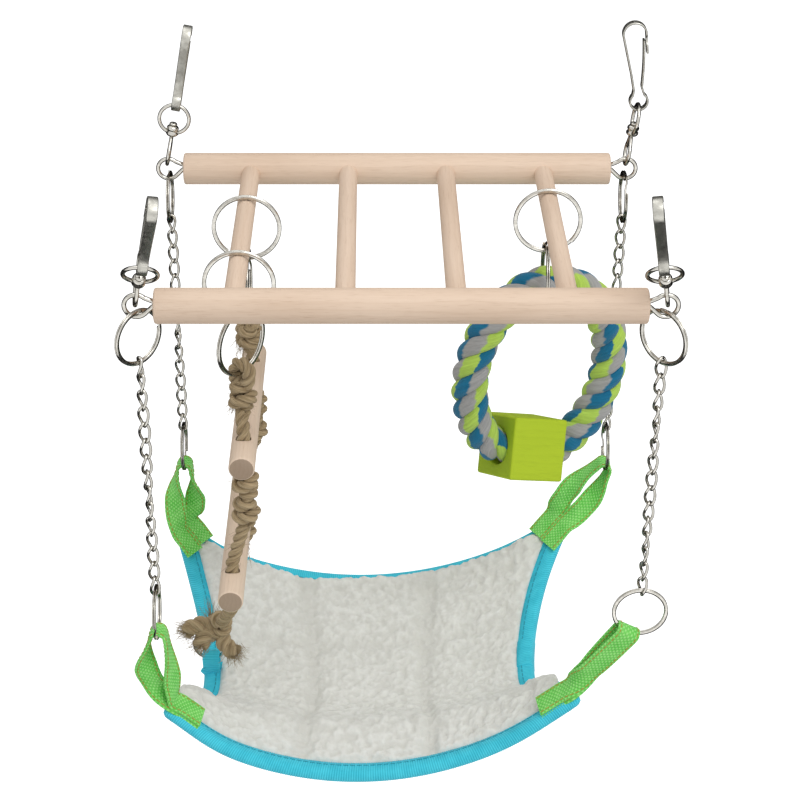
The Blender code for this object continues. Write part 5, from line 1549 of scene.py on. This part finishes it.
# Rope ladder: two three-strand jute ropes, each doubled over a ring and tied, threaded through two
# drilled birch dowels with overhand knots below. The front rope ends in a knot close under the lower
# dowel, with its tail passed through the tie ring.
JUTE = 0.005
DOWEL_DIAMETER = 0.011
DOWEL_LENGTH = 0.103
DOWEL_BORE = 0.0066
DOWEL_HEART = (0.4, 0.010, 0.013)
DRILL_REACH = 0.01
DRILL_SIDES = 40
SHARP_BORE = 50
HOLE_FRONT = -0.038
HOLE_REAR = 0.031
KNOT_WIND = 0.0034
KNOT_TURNS = 2.0
KNOT_RISE = 0.0122
KNOT_STEPS = 33
KNOT_TAPER = 7.0
KNOT_ASIDE = (0.25, 1.0, 0.1)
STRAND_TURN = 0.013
STRAND_SIDES = 10
ROPE_ASIDE = (0.37, 0.21, 0.90)
ROPE_STEP = 0.0006
# The bow over the ring: its cut end beside the top knot, and its legs
BOW_END = (0.0038, -0.003)
BOW_LEG = -0.004
BOW_BACK_LEG = (0.7, -0.0045)
KNOT_TOP = 0.0122
# Heights from a dowel's middle: where the rope enters and leaves its bore, and the knots below it
BORE_IN = 0.0085
BORE_OUT = 0.0075
KNOT_UNDER = 0.0168
KNOT_SECOND = 0.0315
TAIL_REAR = 0.0260
TAIL_FRONT = 0.0133
KNOT_BACK = 0.020
RING_SIDE = -0.00665
RING_TAIL = ((-0.0052, 0.0004), (-0.0012, -0.0036), (0.0036, -0.0034), (0.0056, 0.0006))
KNOT_PHASE = {"top": 0.4, "under": 1.3, "second": 0.2, "front_end": 2.2, "rear_end": 2.9}
DOWEL_PALE = (0.80, 0.64, 0.50)
DOWEL_DEEP = (0.57, 0.42, 0.29)
DOWEL_SAWN = (0.50, 0.47, 0.44)
DOWEL_RING = 0.0017
DOWEL_ROUGH = 0.62
JUTE_LIGHT = (0.60, 0.47, 0.29, 1.0)
JUTE_SHADOW = (0.21, 0.145, 0.072, 1.0)
JUTE_RELIEF = 0.0004


def bored(made, reach, bore, sides, way, material, edge=None):
    """Bore a round hole through a piece, ease the edges if an edge is given, and keep the result."""
    bit = lathe([(-reach, 0.0), (-reach, bore / 2), (reach, bore / 2), (reach, 0.0)], sides)
    drill = piece("drill", moved(bit[0], way), bit[1], material)
    cut = made.modifiers.new("bore", "BOOLEAN")
    cut.operation = "DIFFERENCE"
    cut.solver = "EXACT"
    cut.object = drill
    if edge:
        ease = made.modifiers.new("ease", "BEVEL")
        ease.width = edge
        ease.segments = 4
        ease.limit_method = "ANGLE"
        ease.angle_limit = math.radians(SHARP_BORE)
    depsgraph = bpy.context.evaluated_depsgraph_get()
    made.data = bpy.data.meshes.new_from_object(made.evaluated_get(depsgraph))
    made.modifiers.clear()
    bpy.data.objects.remove(drill)


def finished(made, material, sharp):
    """Give a bored piece its material, smooth but for its sharp edges."""
    made.data.materials.clear()
    made.data.materials.append(material)
    made.data.shade_smooth()
    made.data.set_sharp_from_angle(angle=math.radians(sharp))


toasted = wooden("dowel_wood", DOWEL_PALE, DOWEL_DEEP, DOWEL_SAWN, DOWEL_RING, DOWEL_ROUGH)
dowel_middle = (HOLE_FRONT + HOLE_REAR) / 2
dowels = []
for number in (1, 2):
    at = place_of(f"ladder_dowel_level_{number}")
    home = Vector((at.x, dowel_middle, at.z))
    points, faces = lathe(dowel_profile(DOWEL_LENGTH, DOWEL_DIAMETER, RAIL_EDGE), RAIL_SIDES)
    points = moved(points, Matrix.Translation(home) @ along_y)
    dowel = piece(f"drilled_dowel_{number}", points, faces, toasted)
    for y in (HOLE_FRONT, HOLE_REAR):
        bored(dowel, DRILL_REACH, DOWEL_BORE, DRILL_SIDES, Matrix.Translation((at.x, y, at.z)), toasted)
    finished(dowel, toasted, SHARP_BORE)
    grained(dowel, (0, 1, 0), home, (DOWEL_HEART[0] * number, DOWEL_HEART[1], DOWEL_HEART[2]))
    fix(dowel, f"ladder_dowel_{number}", f"ladder_dowel_{number}")
    dowels.append(home)

# Rope: fine fibres laid along each strand, in lighter and darker streaks
FINE_PACKING = (260.0, 3400.0, 1.0)
COARSE_PACKING = (90.0, 900.0, 1.0)
fibres, given, result = effect(
    "rope_fibres", {"Lay": "Vector", "Light": "Color", "Deep": "Color"}, {"Color": "Color", "Height": "Float"}
)
fine = streaks(fibres, given["Lay"], FINE_PACKING, 3.0, 0.6)
coarse = streaks(fibres, given["Lay"], COARSE_PACKING)
mixed = mixture(fibres, (fine, 0.75), (coarse, 0.55))
shade = ramp(fibres, mixed, 0.35, 0.95)
fibres.links.new(blend(fibres, shade, given["Deep"], given["Light"]), result["Color"])
fibres.links.new(mixed, result["Height"])

jute, tree, shader = material_of("jute_rope", roughness=0.9, specular_ior_level=0.15, sheen_weight=0.1)
lay_uv = put(tree, "ShaderNodeUVMap", uv_map="lay").outputs[0]
inputs = {"Lay": lay_uv, "Light": JUTE_LIGHT, "Deep": JUTE_SHADOW}
yarn = put(tree, "ShaderNodeGroup", node_tree=fibres, inputs=inputs)
tree.links.new(yarn.outputs["Color"], shader.inputs["Base Color"])
bumped(tree, shader, yarn.outputs["Height"], JUTE_RELIEF, 0.8)


def laid_rope(line, diameter, turn_length, sides, spread=0.32, fat=0.28):
    """Three strands laid round a line, as one solid with its lay."""
    along = headings(line)
    ups = carried(along, ROPE_ASIDE)
    others = np.cross(along, ups)
    far = lengths(line)
    around = np.linspace(math.pi, 3 * math.pi, sides, endpoint=False)
    section = np.stack([np.cos(around), np.sin(around)], axis=1) * diameter * fat
    solids = []
    for strand in range(3):
        angle = 2 * math.pi * (far / turn_length + strand / 3)
        outward = np.cos(angle)[:, None] * ups + np.sin(angle)[:, None] * others
        solids.append(sweep(line + outward * diameter * spread, section, side=outward))
    return joined(*solids)


def wound(points, knots):
    """A line through points that winds round itself where it is knotted. Each knot is the index of
    the point it is centred on, with the angle that its winding starts from."""
    points = [np.asarray(point, float) for point in points]
    line = []
    for index, point in enumerate(points):
        if index not in knots:
            line.append(point)
            continue
        way = unit(points[min(index + 1, len(points) - 1)] - points[index - 1])
        out = unit(np.cross(way, KNOT_ASIDE))
        other = np.cross(way, out)
        for share in np.linspace(-0.5, 0.5, KNOT_STEPS):
            angle = 2 * math.pi * KNOT_TURNS * share + knots[index]
            wide = KNOT_WIND * min(1.0, (0.5 - abs(share)) * KNOT_TAPER)
            coil = wide * (math.cos(angle) * out + math.sin(angle) * other)
            line.append(point + way * KNOT_RISE * share + coil)
    return curve_through(line, ROPE_STEP)


ropes = {}
for name, hole in (("front", HOLE_FRONT), ("rear", HOLE_REAR)):
    ring = np.array(linked_below(place_of(f"ladder_rope_swing_{name}")))
    low = ring - (0.0, 0.0, ring_reach(LARGE_RING))
    apart = np.array(turn("Z", LADDER_RING_YAW[name]) @ Vector((0, 1, 0)))
    bow = (LARGE_RING[1] + JUTE) / 2 + GAP
    top_knot = low - (0.0, 0.0, KNOT_TOP)
    first = np.array((dowels[0].x, hole, dowels[0].z))
    second = np.array((dowels[1].x, hole, dowels[1].z))
    points = [top_knot + apart * BOW_END[0] + (0, 0, BOW_END[1]), low + apart * bow + (0, 0, BOW_LEG)]
    for a in np.linspace(0, math.pi, 7):
        points.append(low + bow * (math.cos(a) * apart + np.array((0, 0, math.sin(a)))))
    points.append(low - apart * bow * BOW_BACK_LEG[0] + (0, 0, BOW_BACK_LEG[1]))
    knots = {len(points): KNOT_PHASE["top"]}
    points += [top_knot, first + (0, 0, BORE_IN), first, first - (0, 0, BORE_OUT)]
    knots[len(points)] = KNOT_PHASE["under"]
    points += [first - (0, 0, KNOT_UNDER)]
    knots[len(points)] = KNOT_PHASE["second"]
    points += [first - (0, 0, KNOT_SECOND), first * 0.2 + second * 0.8]
    points += [second + (0, 0, BORE_IN), second, second - (0, 0, BORE_OUT)]
    if name == "front":
        end = np.array(tie_ring) + (0.0, 0.0, ring_reach(TIE_RING))
        beside = np.array((end[0], RING_SIDE, end[2]))
        below = second - (0, 0, TAIL_FRONT)
        end_knot = beside - unit(beside - below) * KNOT_BACK
        points += [below]
        knots[len(points)] = KNOT_PHASE["front_end"]
        points += [end_knot] + [(end[0], y, end[2] + z) for y, z in RING_TAIL]
    else:
        knots[len(points)] = KNOT_PHASE["rear_end"]
        points += [second - (0, 0, KNOT_UNDER), second - (0, 0, TAIL_REAR)]
    line = wound(points, knots)
    points, faces, lay = laid_rope(line, JUTE, STRAND_TURN, STRAND_SIDES)
    rope = piece(f"jute_{name}", points, faces, jute, lay)
    fix(rope, f"ladder_rope_{name}", f"ladder_rope_{name}")
    ropes[name] = (rope, line)

# Frayed jute: three short stubs of rope stand out of the front rope's end knot, every cut end has
# opened to a brush, and thin bent hairs leave the ropes along their lay.
FIBRE = 0.00016
FIBRE_SPAN = (0.8, 1.6)
FIBRE_SIDES = 4
FIBRE_STEPS = 6
FIBRE_TIP = 0.4
FIBRE_SAG = 0.35
FIBRE_LEAST = 0.45
BOW_ENDS = ((-0.0145, -0.002, -0.001), (-0.0080, -0.005, -0.0070), (0.0075, -0.006, -0.0110))
STUB_FAT = 1.35
STUB_MIDDLE = 0.55
STUB_BEND = 0.002
STUB_HAIRS = 220
STUB_WIDE = 0.34
STUB_REACH = 0.0065
STUB_SPREAD = 0.45
STUB_SEEDS = (61, 71)
FUZZ_HAIRS = 240
FUZZ_OUT = 0.44
FUZZ_LEAN = 0.7
FUZZ_REACH = 0.0042
FUZZ_SPREAD = 0.3
FUZZ_SEEDS = (7, 11)
BRUSH_HAIRS = (90, 60)
BRUSH_WIDE = 0.22
BRUSH_BACK = 0.001
BRUSH_REACH = 0.011
BRUSH_SPREAD = 0.33
BRUSH_SEED = 31


def hairs(places, ways, reach, spread, seed):
    """Bent hairs from places, along ways, with a spread of directions."""
    rng = np.random.default_rng(seed)
    steps = np.linspace(0.0, 1.0, FIBRE_STEPS)[:, None]
    thinner = np.linspace(1.0, FIBRE_TIP, FIBRE_STEPS)
    solids = []
    for place, way in zip(places, ways):
        aim = unit(np.asarray(way) + rng.normal(0, spread, 3))
        sag = rng.normal(0, FIBRE_SAG, 3)
        long = reach * rng.uniform(FIBRE_LEAST, 1.0)
        line = np.asarray(place) + aim * steps * long + sag * steps**2 * long * 0.5
        section = round_section(FIBRE * rng.uniform(*FIBRE_SPAN), FIBRE_SIDES)
        solids.append(sweep(line, section, scale=thinner))
    return joined(*solids)


stubs = []
for number, offset in enumerate(BOW_ENDS):
    way = unit(offset)
    bent = end_knot + np.array(offset) * STUB_MIDDLE + np.cross(way, (0, -1, 0)) * STUB_BEND
    stub = curve_through([end_knot + way * STUB_BEND, bent, end_knot + np.array(offset)], ROPE_STEP)
    stubs.append(laid_rope(stub, JUTE * STUB_FAT, STRAND_TURN, STRAND_SIDES))
    rng = np.random.default_rng(STUB_SEEDS[0] + number)
    tips = stub[-1] + rng.normal(0, JUTE * STUB_WIDE, (STUB_HAIRS, 3)) - way * STUB_BEND
    stubs.append(hairs(tips, [way] * len(tips), STUB_REACH, STUB_SPREAD, STUB_SEEDS[1] + number))
points, faces, lay = joined(*stubs)
bow_piece = piece("jute_bow", points, faces, jute, lay)
fix(bow_piece, "ladder_rope_front")

for number, (name, (rope, line)) in enumerate(ropes.items()):
    rng = np.random.default_rng(FUZZ_SEEDS[0] + number)
    along = headings(line)
    picked = rng.integers(4, len(line) - 4, FUZZ_HAIRS)
    out = squared(rng.normal(0, 1, (FUZZ_HAIRS, 3)), along[picked])
    ways = along[picked] * rng.choice((-1, 1), FUZZ_HAIRS)[:, None] + out * FUZZ_LEAN
    roots = line[picked] + out * JUTE * FUZZ_OUT
    fuzz = hairs(roots, ways, FUZZ_REACH, FUZZ_SPREAD, FUZZ_SEEDS[1] + number)
    tips = []
    ways = []
    for end, way, many in zip((line[-1], line[0]), (along[-1], -along[0]), BRUSH_HAIRS):
        for _ in range(many):
            tips.append(end + rng.normal(0, JUTE * BRUSH_WIDE, 3) - way * BRUSH_BACK)
            ways.append(way)
    brush = hairs(tips, ways, BRUSH_REACH, BRUSH_SPREAD, BRUSH_SEED + number)
    points, faces, lay = joined(fuzz, brush)
    frayed = piece(f"jute_fray_{name}", points, faces, jute, lay)
    fix(frayed, f"ladder_rope_{name}")

# Toy: a fat three-strand cotton rope of lime, grey and teal yarns, bent to a loop through its ring
# and glued into both ends of a bore through a lime-stained wooden cube.
TOY_ROPE = 0.016
TOY_YAW = 25.0
TOY_HALF_WIDTH = 0.036
TOY_HALF_HEIGHT = 0.0435
TOY_GAP_LOW = -77.55
TOY_GAP_HIGH = 229.55
TOY_TURN = 0.0275
CUBE = 0.0285
CUBE_EDGE = 0.0012
CUBE_BORE = 0.0172
CUBE_ROLL = -21.0
CUBE_SIDES = 64
CUBE_HEART = (0.2, 0.022, 0.017)
SHARP_CUBE = 40
TOY_SEAT = 0.32
TOY_STEPS = 260
TOY_SKIP = 5
TOY_SIDES = 22
TOY_SPREAD = 0.270
TOY_FAT = 0.250
TOY_RELIEF = 0.0007
LIME_YARN = (0.56, 0.82, 0.13, 1.0)
GREY_YARN = (0.47, 0.47, 0.46, 1.0)
TEAL_YARN = (0.012, 0.20, 0.37, 1.0)
YARN_SHADE = (0.66, 0.66, 0.66, 1.0)
DRIFT_PACKING = (120.0, 260.0, 1.0)
# How far the yarns' stripes lean along and round the strand and drift, and how far apart they repeat
STRIPE_LEAN = (0.84, 0.55)
STRIPE_DRIFT = 0.0035
STRIPE_REPEAT = 0.0155
LIME_PALE = (0.47, 0.62, 0.020)
LIME_DEEP = (0.36, 0.50, 0.012)
LIME_SAWN = (0.80, 0.85, 0.85)
LIME_RING = 0.0030
LIME_ROUGH = 0.62

toy_top = place_of("toy_rope_swing")
toy_home = Matrix.Translation(toy_top) @ turn("Z", TOY_YAW)


def on_loop(angles):
    """Points of the toy's oval, at angles in degrees."""
    angles = np.radians(angles)
    up = TOY_HALF_HEIGHT * np.sin(angles) - TOY_HALF_HEIGHT
    return np.stack([TOY_HALF_WIDTH * np.cos(angles), 0 * angles, up], axis=1)


ends = on_loop(np.array((TOY_GAP_LOW, TOY_GAP_HIGH)))
oval = on_loop(np.linspace(TOY_GAP_LOW, TOY_GAP_HIGH, TOY_STEPS))
inside = (ends[0] - ends[1]) * TOY_SEAT
line = np.vstack([ends[0] - inside, oval, ends[1] + inside])
picked = np.r_[0, 1:TOY_STEPS + 1:TOY_SKIP, TOY_STEPS + 1]
line = moved(curve_through(line[picked], ROPE_STEP), toy_home)

cotton, tree, shader = material_of("cotton_rope", roughness=0.88, specular_ior_level=0.15, sheen_weight=0.2)
lay_uv = put(tree, "ShaderNodeUVMap", uv_map="lay").outputs[0]
lay_parts = put(tree, "ShaderNodeSeparateXYZ", {0: lay_uv}).outputs
drift = streaks(tree, lay_uv, DRIFT_PACKING)
stripe = mixture(tree, (lay_parts[0], STRIPE_LEAN[0]), (lay_parts[1], STRIPE_LEAN[1]), (drift, STRIPE_DRIFT))
band_at = sums(tree, "MULTIPLY", sums(tree, "FRACT", sums(tree, "DIVIDE", stripe, STRIPE_REPEAT)), 3.0)
tone = blend(tree, ramp(tree, band_at, 0.92, 1.08), LIME_YARN, GREY_YARN)
tone = blend(tree, ramp(tree, band_at, 1.92, 2.08), tone, TEAL_YARN)
tone = blend(tree, ramp(tree, band_at, 2.90, 3.0), tone, LIME_YARN)
inputs = {"Lay": lay_uv, "Light": WHITE, "Deep": YARN_SHADE}
yarn = put(tree, "ShaderNodeGroup", node_tree=fibres, inputs=inputs)
shaded = blend(tree, 1.0, tone, yarn.outputs["Color"], "MULTIPLY")
tree.links.new(shaded, shader.inputs["Base Color"])
bumped(tree, shader, yarn.outputs["Height"], TOY_RELIEF, 0.8)

points, faces, lay = laid_rope(line, TOY_ROPE, TOY_TURN, TOY_SIDES, spread=TOY_SPREAD, fat=TOY_FAT)
toy_rope = piece("cotton_loop", points, faces, cotton, lay)
fix(toy_rope, "toy_rope", "toy_rope")

lime = wooden("lime_wood", LIME_PALE, LIME_DEEP, LIME_SAWN, LIME_RING, LIME_ROUGH)
chord = ends[0] - ends[1]
slope = math.atan2(-chord[2], chord[0])
middle = (ends[0] + ends[1]) / 2
cube_home = toy_home @ Matrix.Translation(Vector(middle))
cube_home = cube_home @ Matrix.Rotation(slope, 4, "Y") @ turn("X", CUBE_ROLL)
form = bmesh.new()
bmesh.ops.create_cube(form, size=CUBE)
mesh = bpy.data.meshes.new("cube_blank")
form.to_mesh(mesh)
form.free()
cube = bpy.data.objects.new("lime_cube", mesh)
scene.collection.objects.link(cube)
bored(cube, CUBE, CUBE_BORE, CUBE_SIDES, along_x, lime, CUBE_EDGE)
cube.data.transform(cube_home)
finished(cube, lime, SHARP_CUBE)
grain_way = cube_home.to_3x3() @ Vector((1, 0, 0))
grained(cube, grain_way, cube_home.translation, CUBE_HEART)
fix(cube, "toy_block", "toy_block")
